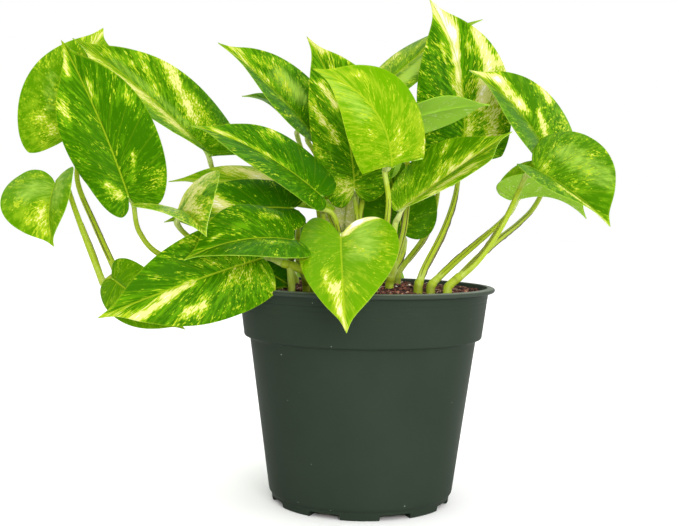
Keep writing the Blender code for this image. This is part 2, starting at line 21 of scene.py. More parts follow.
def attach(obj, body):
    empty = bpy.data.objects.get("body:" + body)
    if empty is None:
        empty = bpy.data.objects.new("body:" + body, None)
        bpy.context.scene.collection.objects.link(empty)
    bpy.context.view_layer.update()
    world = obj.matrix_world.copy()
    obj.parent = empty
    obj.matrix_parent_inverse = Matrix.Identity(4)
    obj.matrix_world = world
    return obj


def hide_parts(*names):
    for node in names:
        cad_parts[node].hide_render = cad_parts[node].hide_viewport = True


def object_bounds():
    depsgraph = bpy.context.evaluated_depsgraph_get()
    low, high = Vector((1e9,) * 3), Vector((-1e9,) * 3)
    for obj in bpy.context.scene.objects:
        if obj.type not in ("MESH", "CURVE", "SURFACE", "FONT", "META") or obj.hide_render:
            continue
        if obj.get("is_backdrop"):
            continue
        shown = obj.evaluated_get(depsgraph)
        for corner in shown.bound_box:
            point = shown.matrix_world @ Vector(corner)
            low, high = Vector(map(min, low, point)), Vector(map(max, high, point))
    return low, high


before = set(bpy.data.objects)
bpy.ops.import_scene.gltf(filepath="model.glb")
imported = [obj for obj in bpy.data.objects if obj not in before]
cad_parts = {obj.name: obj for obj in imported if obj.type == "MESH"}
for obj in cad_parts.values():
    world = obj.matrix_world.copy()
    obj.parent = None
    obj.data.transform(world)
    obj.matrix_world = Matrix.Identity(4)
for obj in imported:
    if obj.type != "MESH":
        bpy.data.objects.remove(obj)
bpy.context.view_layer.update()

MM = 0.001
FULL_TURN = 2 * math.pi
SEED = 7

# %% [markdown]
# ## Helpers for colours, nodes and meshes
#
# Colours are written as sRGB hex, as a paint chart gives them, and one function turns them into the linear
# values that a shader works in. One function adds a node with its settings and links, and one lays a colour
# over another where some value says so. Meshes are built as arrays of points and faces, and named values can
# ride on the points for a material to read.

# %% Colours and nodes


def linear(hex_colour):
    """The linear RGBA of a hex colour, by the sRGB standard's own curve."""
    parts = [int(hex_colour[i : i + 2], 16) / 255 for i in (1, 3, 5)]
    return [p / 12.92 if p <= 0.04045 else ((p + 0.055) / 1.055) ** 2.4 for p in parts] + [1.0]


NOISE_RANGE = {"From Min": 0.3, "From Max": 0.7}  # where nearly all of a noise's values lie


def fill(tree, node, inputs):
    """Gives sockets of a node, by name or number, a value, a hex colour or another node's output."""
    for key, value in inputs.items():
        if isinstance(value, bpy.types.NodeSocket):
            tree.links.new(value, node.inputs[key])
        else:
            node.inputs[key].default_value = linear(value) if isinstance(value, str) else value


def add_node(tree, kind, inputs, **settings):
    """A new shader node with these inputs and settings."""
    node = tree.nodes.new(kind)
    for key, value in settings.items():
        setattr(node, key, value)
    fill(tree, node, inputs)
    return node


def new_material(name, **surface):
    """A material with these values on its one Principled shader, its node tree and that shader."""
    made = bpy.data.materials.new(name)
    made.use_nodes = True
    shader = made.node_tree.nodes["Principled BSDF"]
    fill(made.node_tree, shader, {key.replace("_", " "): value for key, value in surface.items()})
    return made, made.node_tree, shader


def layer(tree, under, over, value, low, high, most=1.0):
    """Lays the colour over on the colour under, softly, where the value passes from low to high."""
    share = add_node(tree, "ShaderNodeMapRange", {
        "Value": value, "From Min": low, "From Max": high, "To Max": most,
    }, interpolation_type="SMOOTHSTEP")
    return add_node(tree, "ShaderNodeMix", {
        "Factor": share.outputs[0], "A": under, "B": over,
    }, data_type="RGBA").outputs["Result"]


# %% Objects and meshes


def add_object(name, data):
    """Puts a mesh, a lamp or a camera into the scene."""
    made = bpy.data.objects.new(name, data)
    bpy.context.scene.collection.objects.link(made)
    return made


def add_piece(name, points_mm, faces, values, finish, node, slot, sharp):
    """A smooth-shaded mesh that rides on the plant's one body and stands for a CAD node.

    Edges that turn by more degrees than sharp stay sharp.
    """
    mesh = bpy.data.meshes.new(name)
    mesh.from_pydata((np.asarray(points_mm) * MM).tolist(), [], faces)
    for key, value in values.items():
        value = np.asarray(value, np.float32)
        kind, field = ("FLOAT", "value") if value.ndim == 1 else ("FLOAT_VECTOR", "vector")
        mesh.attributes.new(key, kind, "POINT").data.foreach_set(field, value.ravel())
    mesh.shade_smooth()
    mesh.set_sharp_from_angle(angle=math.radians(sharp))
    mesh.materials.append(finish)
    piece = add_object(name, mesh)
    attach(piece, "root")
    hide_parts(node)
    return piece


class Parts:
    """Closed shapes gathered into one mesh, each with its own named values."""

    def __init__(self, *names):
        self.points, self.faces, self.count = [], [], 0
        self.kept = {name: [] for name in names}

    def add(self, points, faces, *values):
        """Each value is one number for the whole shape, or one for each of its points."""
        self.faces += [[corner + self.count for corner in face] for face in faces]
        self.points.append(points)
        self.count += len(points)
        for kept, value in zip(self.kept.values(), values):
            kept.append(np.broadcast_to(value, len(points)))

    def piece(self, name, *rest):
        values = {key: np.concatenate(kept) for key, kept in self.kept.items()}
        return add_piece(name, np.vstack(self.points), self.faces, values, *rest)


def unit(v):
    v = np.asarray(v, float)
    return v / np.linalg.norm(v, axis=-1, keepdims=True)


def bell(x, reach, middle=0.0):
    """1 at the middle, fading softly to both sides."""
    return np.exp(-(((x - middle) / reach) ** 2))


def sweep_ring(ring, path, forward, radii, side):
    """Carries a ring of points along a path without twist, and tells which way its first axis faces."""
    points, sides = [], []
    for place, way, radius in zip(path, forward, radii):
        side = unit(side - way * (side @ way))
        points.append(place + radius * (ring[:, :1] * side + ring[:, 1:] * np.cross(way, side)))
        sides.append(side)
    return points, sides


def tube_faces(rings, sides):
    """The faces of a closed tube whose points go ring by ring."""
    faces = []
    for first in range(0, (rings - 1) * sides, sides):
        for k in range(sides):
            n = (k + 1) % sides
            faces.append((first + k, first + n, first + n + sides, first + k + sides))
    return [*faces, tuple(reversed(range(sides))), tuple(range((rings - 1) * sides, rings * sides))]


# %% [markdown]
# ## Camera
#
# The photograph was taken about 70 cm in front of the pot, a little above its rim, with a slight tilt. The
# camera's place and angles come from the pot's own ellipses and sides, with the pot at its true size.

# %% Camera
IMAGE_WIDTH = 679
FOCAL_PIXELS = 1108.0
SENSOR_MM = 36.0
CAMERA_MM = (0.0, -700.0, 183.4)
YAW, PITCH, ROLL = 0.022, 0.0484, 0.0157

ahead = Vector((-math.sin(YAW) * math.cos(PITCH), math.cos(YAW) * math.cos(PITCH), -math.sin(PITCH)))
level = Vector((math.cos(YAW), math.sin(YAW), 0))
above = level.cross(ahead)
right = level * math.cos(ROLL) + above * math.sin(ROLL)
above = above * math.cos(ROLL) - level * math.sin(ROLL)

lens = bpy.data.cameras.new("camera")
lens.sensor_width = SENSOR_MM
lens.lens = FOCAL_PIXELS / IMAGE_WIDTH * SENSOR_MM
lens.dof.use_dof = False
camera = add_object("camera", lens)
camera.matrix_world = Matrix(
    (
        (right.x, above.x, -ahead.x, CAMERA_MM[0] * MM),
        (right.y, above.y, -ahead.y, CAMERA_MM[1] * MM),
        (right.z, above.z, -ahead.z, CAMERA_MM[2] * MM),
        (0, 0, 0, 1),
    )
)
bpy.context.scene.camera = camera
print(f"lens {lens.lens:.1f} mm, {Vector(CAMERA_MM).length / 1000:.2f} m from the middle of the base")

# %% [markdown]
# ## Floor and light
#
# A white floor and large soft lamps give the bright, nearly shadowless look of a catalogue photograph. One wide
# lamp hangs overhead, a little to the left, and one stands in front. The surroundings are dimmer on the left,
# which darkens that edge of the pot.

# %% Floor and light
FLOOR_WHITE = "#f7f7f6"
FULL_WHITE = "#ffffff"
FLOOR_REACH = 6.0  # m to each side
CEILING_GLOW = 1.4
WALL_GLOW = (0.0, 1.9)  # on the left and on the right
WALL_ENDS = (-1.0, 0.7)  # how far sideways, from -1 to 1, each wall has its full glow
CEILING_EDGE = (0.05, 0.6)  # how far up, from 0 to 1, the walls turn into the ceiling

# Paper is matt, so the floor shows only soft shadows and no reflection.
paint, tree, shader = new_material("matt_white_paper", Base_Color=FLOOR_WHITE, Roughness=0.9, IOR=1.45)
mesh = bpy.data.meshes.new("floor")
corners = [(x * FLOOR_REACH, y * FLOOR_REACH, 0) for x, y in ((-1, -1), (1, -1), (1, 1), (-1, 1))]
mesh.from_pydata(corners, [], [(0, 1, 2, 3)])
mesh.materials.append(paint)
floor = add_object("floor", mesh)
floor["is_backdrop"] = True


def soft_lamp(name, place, target, size, power):
    """A square lamp of this size in metres and power in watts, facing the target."""
    light = bpy.data.lights.new(name, "AREA")
    light.shape = "SQUARE"
    light.size = size
    light.energy = power
    lamp = add_object(name, light)
    lamp.location = place
    lamp.rotation_mode = "QUATERNION"
    lamp.rotation_quaternion = (Vector(target) - Vector(place)).to_track_quat("-Z", "Y")


soft_lamp("overhead", place=(-0.9, -0.3, 1.6), target=(0, 0, 0.15), size=0.9, power=5)
soft_lamp("front", place=(0.45, -1.9, 0.7), target=(0, 0, 0.2), size=1.0, power=30)

world = bpy.data.worlds.new("studio")
bpy.context.scene.world = world
world.use_nodes = True
tree = world.node_tree
tree.nodes.clear()
place = add_node(tree, "ShaderNodeTexCoord", {})
axes = add_node(tree, "ShaderNodeSeparateXYZ", {0: place.outputs["Generated"]})
walls = add_node(tree, "ShaderNodeMapRange", {
    "Value": axes.outputs["X"], "From Min": WALL_ENDS[0], "From Max": WALL_ENDS[1],
    "To Min": WALL_GLOW[0], "To Max": WALL_GLOW[1],
})
rise = add_node(tree, "ShaderNodeMapRange", {
    "Value": axes.outputs["Z"], "From Min": CEILING_EDGE[0], "From Max": CEILING_EDGE[1],
}, interpolation_type="SMOOTHSTEP")
room = add_node(tree, "ShaderNodeMix", {"Factor": rise.outputs[0], "A": walls.outputs[0], "B": CEILING_GLOW})
seen = add_node(tree, "ShaderNodeLightPath", {})
strength = add_node(tree, "ShaderNodeMix", {
    "Factor": seen.outputs["Is Camera Ray"], "A": room.outputs[0], "B": 1.0,
})
glow = add_node(tree, "ShaderNodeBackground", {"Color": FULL_WHITE, "Strength": strength.outputs[0]})
add_node(tree, "ShaderNodeOutputWorld", {"Surface": glow.outputs[0]})
bpy.context.scene.view_settings.view_transform = "Standard"

# %% [markdown]
# ## Nursery pot
#
# The pot is polypropylene, coloured dark grey-green and injection moulded in one shot. The mould gives it a
# thin rolled lip to lift it by, a plain band that stiffens the top, a step on which stacked pots rest, and
# a tapered wall that lets it leave the mould. It could be cut from a cylinder, but a moulded pot is a shape
# of revolution, so a profile turned round the axis gives every ledge and rounding at once. The drain slots
# are then cut through its bottom edge.

# %% Moulded polypropylene
# Polypropylene is a slightly waxy, half-matt plastic, and the eye reads it from its broad, soft highlights.
# The mould's turned surface leaves faint level lines, about 1 mm apart, and handling leaves pale specks.
POT_GREEN = "#232c23"
POT_GREEN_WORN = "#2c352b"
LIP_PAINTED_HIGHLIGHT = "#747c70"
SPECK = "#6f776c"
# Heights in mm where the painted highlight on the lip's top starts and where it is full, and how far it pales
# there.
LIP_HIGHLIGHT_BANDS = ((132.5, 133.8, 0.08), (135.2, 135.9, 0.7))
SPECK_LIMITS = (0.80, 0.83)  # only the noise's rare peaks
PLASTIC_ROUGHNESS = (0.42, 0.55)  # where the plastic is fresh, and where it is worn
RELIEF = 0.1  # mm, the height of the mould's lines and of the grit
LINE_SPACING = 1.1  # mm between the mould's level lines
LINE_LENGTH = 170.0  # mm along one before it fades
WORN_PATCH = 45.0  # mm across
GRIT = 0.42  # mm across
SPECK_SPACING = 3.1  # mm

plastic, tree, shader = new_material("moulded_polypropylene", IOR=1.49, Metallic=0.0, Specular_IOR_Level=0.02)
place = add_node(tree, "ShaderNodeTexCoord", {})
rings = add_node(tree, "ShaderNodeMapping", {
    "Vector": place.outputs["Object"],
    "Scale": tuple(1 / (size * MM) for size in (LINE_LENGTH, LINE_LENGTH, LINE_SPACING)),
})
turning = add_node(tree, "ShaderNodeTexNoise", {"Vector": rings.outputs[0], "Scale": 1.0, "Detail": 2.0})
haze, grit, dust = (
    add_node(tree, "ShaderNodeTexNoise", {
        "Vector": place.outputs["Object"], "Scale": 1 / (size * MM), "Detail": detail,
    })
    for size, detail in ((WORN_PATCH, 5.0), (GRIT, 2.0), (SPECK_SPACING, 1.0))
)
colour = add_node(tree, "ShaderNodeMix", {
    "Factor": haze.outputs[0], "A": POT_GREEN, "B": POT_GREEN_WORN,
}, data_type="RGBA").outputs["Result"]
colour = layer(tree, colour, SPECK, dust.outputs[0], *SPECK_LIMITS)
up = add_node(tree, "ShaderNodeSeparateXYZ", {0: place.outputs["Object"]})
# The lip's top is paled by height: a painted highlight.
for low, high, most in LIP_HIGHLIGHT_BANDS:
    colour = layer(tree, colour, LIP_PAINTED_HIGHLIGHT, up.outputs["Z"], low * MM, high * MM, most)
gloss = add_node(tree, "ShaderNodeMapRange", {
    "Value": haze.outputs[0], **NOISE_RANGE, "To Min": PLASTIC_ROUGHNESS[0], "To Max": PLASTIC_ROUGHNESS[1],
})
lines = add_node(tree, "ShaderNodeBump", {
    "Height": turning.outputs[0], "Strength": 0.25, "Distance": RELIEF * MM,
})
grain = add_node(tree, "ShaderNodeBump", {
    "Height": grit.outputs[0], "Strength": 0.15, "Distance": RELIEF * MM, "Normal": lines.outputs[0],
})
fill(tree, shader, {"Base Color": colour, "Roughness": gloss.outputs[0], "Normal": grain.outputs[0]})
print(f"{plastic.name}: {len(tree.nodes)} nodes")

# %% Pot profile
POT_HEIGHT = 136.0
LIP_RADIUS = 82.5
LIP_DROP = 3.2
BAND_TOP_RADIUS = 78.2
BAND_FOOT_RADIUS = 74.8
BAND_FOOT_HEIGHT = 104.0
WALL_TOP_RADIUS = 71.0
WALL_FOOT_RADIUS = 58.0
WALL_FOOT_HEIGHT = 6.5
BASE_RADIUS = 55.6
WALL = 1.6
FLOOR = 2.0
POT_SIDES = 160
BAND_LINES = ((128.2, 0.22), (125.4, 0.18), (121.6, 0.14))  # height, and depth of each faint line
BAND_LINE_WIDTH = 0.35
BAND_POINTS = 0.5  # mm between points down the band
WALL_START = 2.4  # mm below the step, where the straight wall starts
# The turns of the outside, each as (outwards, upwards) in mm from its corner.
LIP_ROLL = (
    (-4.6, 0.0), (-3.4, 0.0), (-2.0, -0.05), (-1.1, -0.2), (-0.5, -0.5), (-0.12, -0.9), (0.0, -1.4),
    (-0.05, -1.9), (-0.3, -2.35), (-0.7, -2.7), (-1.3, -2.95),
)
UNDER_LIP = ((1.2, -0.25), (0.45, -0.7), (0.1, -1.4))
BAND_FOOT = ((0.2, 1.6), (0.05, 0.9), (-0.3, 0.3), (-0.9, 0.0))
STEP = ((1.6, -0.35), (0.6, -1.0), (0.1, -1.9), (-0.05, -3.0))
WALL_FOOT = ((-0.05, 0.4), (-0.5, -0.35))
BASE_SLOPE = ((1.1, -1.0), (0.8, -1.8))
BASE_EDGE = ((0.4, 1.0), (0.1, 0.4), (-0.5, 0.0))


def band_heights():
    """Where the band's straight part starts and ends."""
    return POT_HEIGHT - LIP_DROP - 2.2, BAND_FOOT_HEIGHT + 2


def band_radius(height):
    """The band's outside, with its faint moulded lines."""
    top, foot = band_heights()
    share = (height - foot) / (top - foot)
    lines = sum(depth * math.exp(-(((height - at) / BAND_LINE_WIDTH) ** 2)) for at, depth in BAND_LINES)
    return BAND_FOOT_RADIUS + 0.2 + (BAND_TOP_RADIUS - BAND_FOOT_RADIUS - 0.2) * share - lines


def pot_profile():
    """(radius, height) down the outside from the lip, across the base and up the inside."""
    under, step, foot = POT_HEIGHT - LIP_DROP, BAND_FOOT_HEIGHT, WALL_FOOT_HEIGHT

    def turn(radius, height, offsets):
        return [(radius + out, height + up) for out, up in offsets]

    outer = turn(LIP_RADIUS, POT_HEIGHT, LIP_ROLL) + turn(BAND_TOP_RADIUS, under, UNDER_LIP)
    top, end = band_heights()
    outer += [(band_radius(h), h) for h in np.arange(top, end, -BAND_POINTS)]
    outer += turn(BAND_FOOT_RADIUS, step, BAND_FOOT) + turn(WALL_TOP_RADIUS, step, STEP)
    for share in np.linspace(0.08, 0.98, 12):
        outer.append((WALL_TOP_RADIUS + (WALL_FOOT_RADIUS - WALL_TOP_RADIUS) * share,
                      step - WALL_START + (foot - step + WALL_START) * share))
    outer += turn(WALL_FOOT_RADIUS, foot, WALL_FOOT) + turn(BASE_RADIUS, foot, BASE_SLOPE)
    outer += [*turn(BASE_RADIUS, 0.0, BASE_EDGE), (0.0, 0.0)]
    inner = [(0.0, FLOOR), (BASE_RADIUS - 1.8, FLOOR), (WALL_FOOT_RADIUS - WALL, foot + 1.0)]
    inner += [(WALL_TOP_RADIUS - WALL, step - 0.6), (BAND_FOOT_RADIUS - WALL - 0.6, step + 2.4)]
    inner += [(BAND_TOP_RADIUS - WALL, under - 0.8), (BAND_TOP_RADIUS - 0.8, under + 1.4)]
    return outer + inner


# %% Turn the pot and cut its drain slots
DRAIN_SLOTS = 8
DRAIN_WIDTH = 20.0
DRAIN_HEIGHT = 3.4
DRAIN_DEPTH = 9.0
DRAIN_BEVEL = 1.2
CUTTER_LENGTH = 20.0
MERGE = 0.01  # mm; points nearer than this are one
POT_SHARP = 32  # degrees


def turned_mesh(name, profile, sides):
    """A closed mesh turned round the Z axis from a profile that touches the axis twice."""
    shape = bmesh.new()
    ring = [shape.verts.new((r * MM, 0, z * MM)) for r, z in profile]
    edges = [shape.edges.new(pair) for pair in zip(ring, ring[1:] + ring[:1])]
    bmesh.ops.spin(shape, geom=ring + edges, cent=(0, 0, 0), axis=(0, 0, 1),
                   angle=FULL_TURN, steps=sides, use_duplicate=False)
    bmesh.ops.remove_doubles(shape, verts=shape.verts, dist=MERGE * MM)
    bmesh.ops.dissolve_degenerate(shape, edges=shape.edges, dist=MERGE * MM / 10)
    on_axis = [f for f in shape.faces if all(math.hypot(*v.co.xy) < MERGE * MM for v in f.verts)]
    bmesh.ops.delete(shape, geom=on_axis, context="FACES")
    bmesh.ops.recalc_face_normals(shape, faces=shape.faces)
    mesh = bpy.data.meshes.new(name)
    shape.to_mesh(mesh)
    shape.free()
    return mesh


pot = add_object("nursery_pot", turned_mesh("nursery_pot", pot_profile(), POT_SIDES))
shape = bmesh.new()
for i in range(DRAIN_SLOTS):
    turn = FULL_TURN * (i + 0.5) / DRAIN_SLOTS
    middle = BASE_RADIUS - DRAIN_DEPTH + CUTTER_LENGTH / 2
    size = Matrix.Diagonal((CUTTER_LENGTH * MM, DRAIN_WIDTH * MM, 2 * DRAIN_HEIGHT * MM, 1))
    place = Matrix.Rotation(turn, 4, "Z") @ Matrix.Translation((middle * MM, 0, 0))
    bmesh.ops.create_cube(shape, size=1, matrix=place @ size)
flat = [e for e in shape.edges if (e.verts[0].co.xy - e.verts[1].co.xy).length > DRAIN_WIDTH * MM / 2]
bmesh.ops.bevel(shape, geom=flat, offset=DRAIN_BEVEL * MM, segments=3, profile=0.5, affect="EDGES")
mesh = bpy.data.meshes.new("drain_cutters")
shape.to_mesh(mesh)
shape.free()
cutters = add_object("drain_cutters", mesh)
cut = pot.modifiers.new("drain slots", "BOOLEAN")
cut.operation, cut.object, cut.solver = "DIFFERENCE", cutters, "EXACT"
bpy.context.view_layer.update()
pot.data = bpy.data.meshes.new_from_object(pot.evaluated_get(bpy.context.evaluated_depsgraph_get()))
pot.modifiers.clear()
bpy.data.objects.remove(cutters)
pot.data.shade_smooth()
pot.data.set_sharp_from_angle(angle=math.radians(POT_SHARP))
pot.data.materials.clear()
pot.data.materials.append(plastic)
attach(pot, "root")
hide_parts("pot")
print(f"pot: {len(pot.data.polygons)} faces")

# %% [markdown]
# ## Potting mix
#
# The pot is filled with coir, the brown pith and fibre of coconut husk, with some white perlite against
# packing. It could be one bumpy surface, but seen near the rim its crumbs stand up and hide each other, so
# thousands of small chips are scattered on a mound, with thin fibres and perlite grains among them.

# %% Coir and perlite
# Coir is dry, dull and uneven in colour, from red-brown to nearly black, with straw-coloured fibres. Each
# crumb carries its own tone. Perlite is puffed volcanic glass, chalky white.
COIR_STOPS = (
    (0.0, "#140806"), (0.3, "#35180f"), (0.55, "#5a2e22"), (0.78, "#8a5442"), (0.88, "#b8906c"),
    (0.95, "#e4ded2"),
)
PITH_GRAIN = 0.67  # mm across
PITH_RELIEF = 0.4  # mm
PITH_SHIFT = 0.35  # how far the pith's grain shifts a crumb's tone

coir, tree, shader = new_material("coir_potting_mix", Roughness=0.92, IOR=1.45)
tone = add_node(tree, "ShaderNodeAttribute", {}, attribute_name="tone")
place = add_node(tree, "ShaderNodeTexCoord", {})
pith = add_node(tree, "ShaderNodeTexNoise", {
    "Vector": place.outputs["Object"], "Scale": 1 / (PITH_GRAIN * MM), "Detail": 4.0,
})
# A Math node's inputs all have one name, so they go by number.
shift = add_node(tree, "ShaderNodeMath", {0: pith.outputs[0], 1: 0.5}, operation="SUBTRACT")
shifted = add_node(tree, "ShaderNodeMath", {
    0: shift.outputs[0], 1: PITH_SHIFT, 2: tone.outputs["Fac"],
}, operation="MULTIPLY_ADD")
colour = add_node(tree, "ShaderNodeValToRGB", {0: shifted.outputs[0]})
stops = colour.color_ramp.elements
stops.remove(stops[1])
stops[0].position, stops[0].color = COIR_STOPS[0][0], linear(COIR_STOPS[0][1])
for share, hex_colour in COIR_STOPS[1:]:
    stops.new(share).color = linear(hex_colour)
fuzz = add_node(tree, "ShaderNodeBump", {
    "Height": pith.outputs[0], "Strength": 0.6, "Distance": PITH_RELIEF * MM,
})
fill(tree, shader, {"Base Color": colour.outputs[0], "Normal": fuzz.outputs[0]})
print(f"{coir.name}: {len(COIR_STOPS)} colours")

# %% Root ball with its crumbs
SOIL_EDGE_HEIGHT = 132.2
SOIL_MOUND = 2.6
SOIL_LUMP = 0.5
SOIL_ROUGH = (-0.5, 0.4)  # mm that the surface between the crumbs goes down and up
SOIL_TONE = (0.28, 0.16)  # mean and spread
SOIL_SIDES = 120
SOIL_RINGS = 34
FIT_GAP = 0.3
CRUMBS = 5200
CRUMB_MARGIN, FIBRE_MARGIN = 1.5, 6  # how far they stay from the pot
CRUMB_SIZE = (0.45, 1.25)  # mm from the middle to a corner
CRUMB_TONE = (0.40, 0.22)  # mean and spread
CRUMB_TONE_MOST = 0.84
PERLITE = 60
PERLITE_SIZE = (0.5, 1.0)
PERLITE_TONE = (0.92, 1.0)
FIBRES = 150
FIBRE_LENGTH = (4, 11)
FIBRE_SWAY = 1.6
FIBRE_SIDES = 5
FIBRE_RADII = (0.12, 0.16, 0.17, 0.17, 0.16, 0.14, 0.1)
FIBRE_TONE = (0.7, 0.93)


def soil_height(x, y):
    """The soil's top, in mm: a low mound with soft lumps."""
    radius = np.hypot(x, y)
    mound = SOIL_MOUND * (1 - (radius / BAND_FOOT_RADIUS) ** 2)
    lumps = np.sin(0.17 * x + 0.6) * np.cos(0.21 * y - 0.4) + np.sin(0.11 * (x + y))
    return SOIL_EDGE_HEIGHT + mound + SOIL_LUMP * lumps * np.minimum(1, (BAND_FOOT_RADIUS - radius) / 10)


def soil_body(rng):
    """The root ball as one closed turned mesh, with a rough top."""
    clear = WALL + FIT_GAP + 0.15
    share = (SOIL_EDGE_HEIGHT - BAND_FOOT_HEIGHT) / (POT_HEIGHT - LIP_DROP - BAND_FOOT_HEIGHT)
    top_radius = BAND_FOOT_RADIUS + (BAND_TOP_RADIUS - BAND_FOOT_RADIUS) * share - clear - 0.4
    wall = [(BASE_RADIUS - 2.3 - FIT_GAP, FLOOR + FIT_GAP)]
    wall += [(WALL_FOOT_RADIUS - clear, WALL_FOOT_HEIGHT + 1.2)]
    wall += [(WALL_TOP_RADIUS - clear, BAND_FOOT_HEIGHT - 0.2)]
    wall += [(BAND_FOOT_RADIUS - clear - 0.8, BAND_FOOT_HEIGHT + 3.2)]
    turns = np.arange(SOIL_SIDES) * FULL_TURN / SOIL_SIDES
    rounds = [np.stack([r * np.cos(turns), r * np.sin(turns), np.full(SOIL_SIDES, z)], 1) for r, z in wall]
    for radius in np.linspace(top_radius, top_radius / SOIL_RINGS, SOIL_RINGS):
        x, y = radius * np.cos(turns), radius * np.sin(turns)
        rounds.append(np.stack([x, y, soil_height(x, y) + rng.uniform(*SOIL_ROUGH, SOIL_SIDES)], 1))
    points = np.vstack([[[0, 0, FLOOR + FIT_GAP]], *rounds, [[0, 0, soil_height(0.0, 0.0)]]])
    faces = []
    for k in range(SOIL_SIDES):
        n = (k + 1) % SOIL_SIDES
        faces.append((0, 1 + n, 1 + k))
        for level in range(len(rounds) - 1):
            a = 1 + level * SOIL_SIDES
            faces.append((a + k, a + n, a + n + SOIL_SIDES, a + k + SOIL_SIDES))
        a = 1 + (len(rounds) - 1) * SOIL_SIDES
        faces.append((a + k, a + n, len(points) - 1))
    tones = np.clip(rng.normal(*SOIL_TONE, len(points)), 0, 0.8)
    return points, faces, tones, top_radius


def lump_shape():
    """The 12 corners and 20 faces of an icosahedron."""
    shape = bmesh.new()
    bmesh.ops.create_icosphere(shape, subdivisions=1, radius=1)
    shape.verts.ensure_lookup_table()
    corners = np.array([v.co[:] for v in shape.verts])
    faces = [[v.index for v in f.verts] for f in shape.faces]
    shape.free()
    return corners, faces


def fibre(path):
    """Points and faces of one fibre along a path."""
    forward = unit(np.gradient(path, axis=0))
    turns = np.arange(FIBRE_SIDES) * FULL_TURN / FIBRE_SIDES
    ring = np.stack([np.cos(turns), np.sin(turns)], 1)
    side = np.cross(forward[0], (0.3, 1, 0.2))
    points, _ = sweep_ring(ring, path, forward, FIBRE_RADII, unit(side))
    return np.vstack(points), tube_faces(len(path), FIBRE_SIDES)


def make_soil():
    rng = np.random.default_rng(SEED)
    points, faces, tones, top_radius = soil_body(rng)
    parts = Parts("tone")
    parts.add(points, faces, tones)
    corners, corner_faces = lump_shape()
    for kind, number in (("crumb", CRUMBS), ("perlite", PERLITE)):
        for _ in range(number):
            radius = (top_radius - CRUMB_MARGIN) * math.sqrt(rng.uniform())
            turn = rng.uniform(0, FULL_TURN)
            x, y = radius * math.cos(turn), radius * math.sin(turn)
            size = rng.uniform(*CRUMB_SIZE) * rng.uniform(0.6, 1.3, 3)
            if kind == "perlite":
                size = rng.uniform(*PERLITE_SIZE) * rng.uniform(0.8, 1.2, 3)
            bent = corners * size * rng.uniform(0.75, 1.25, corners.shape)
            angles = rng.uniform(0, FULL_TURN, 3)
            spin = np.array(Matrix.Rotation(angles[0], 3, "X") @ Matrix.Rotation(angles[1], 3, "Y"))
            place = (x, y, float(soil_height(x, y)) + rng.uniform(-0.4, 0.9))
            if kind == "perlite":
                tone = rng.uniform(*PERLITE_TONE)
            else:
                tone = np.clip(rng.normal(*CRUMB_TONE), 0.0, CRUMB_TONE_MOST)
            parts.add(bent @ spin.T + place, corner_faces, tone)
    for _ in range(FIBRES):
        radius = (top_radius - FIBRE_MARGIN) * math.sqrt(rng.uniform())
        turn, way, bend = rng.uniform(0, FULL_TURN, 3)
        x, y = radius * math.cos(turn), radius * math.sin(turn)
        reach, steps = rng.uniform(*FIBRE_LENGTH), np.linspace(-0.5, 0.5, len(FIBRE_RADII))
        xs = x + reach * steps * math.cos(way) + FIBRE_SWAY * np.sin(3 * steps + bend)
        ys = y + reach * steps * math.sin(way) + FIBRE_SWAY * np.cos(4 * steps + bend)
        keep = np.minimum(1, (top_radius - 1.2) / np.maximum(np.hypot(xs, ys), 1e-6))
        xs, ys = xs * keep, ys * keep
        zs = soil_height(xs, ys) + 0.7 + rng.uniform(0, 1.2) * (0.25 - steps**2) * 4
        parts.add(*fibre(np.stack([xs, ys, zs], 1)), rng.uniform(*FIBRE_TONE))
    return parts.piece("potting_mix", coir, "soil", "soil", 180)


soil = make_soil()
print(f"potting mix: {len(soil.data.polygons)} faces")

# %% [markdown]
# ## The plant's tables
#
# Every leaf has its own base, tip, width and way of bending, and every rooted cutting has its own vine and
# leaf stalks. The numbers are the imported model's own, so each finer piece lies where its plain one does. Only
# leaf_bright and leaf_front_heart are shaped a few millimetres closer to the photograph.

# %% Leaves
class Leaf(NamedTuple):
    """One blade: where it sits, in mm, and how it is turned and bent.

    Left and right are as seen when facing the upper side with the tip up. With no turn the
    upper side faces the front as squarely as it can, and a turn rolls it towards its right side.
    """

    name: str  # its CAD node has this name after leaf_
    base: tuple
    tip: tuple
    turn: float
    width: float
    bow: float = 5.0  # mm that the midrib arches towards the upper side
    sweep: float = 0.0  # mm that the midrib swings to the right
    fold: tuple = (20.0, 20.0)  # degrees that the left and right halves rise from the midrib
    curl: float = -25.0  # degrees that they turn further on their way to the margin
    twist: float = 0.0  # degrees from base to tip
    lobe: tuple = (1.0, 1.0)  # lengths of the left and right lobes beside the petiole
    lean: float = 0.0  # share by which the left half is wider and the right half narrower
    slide: tuple = (0.0, 0.0)  # share of the length that each half's widest place lies nearer the tip


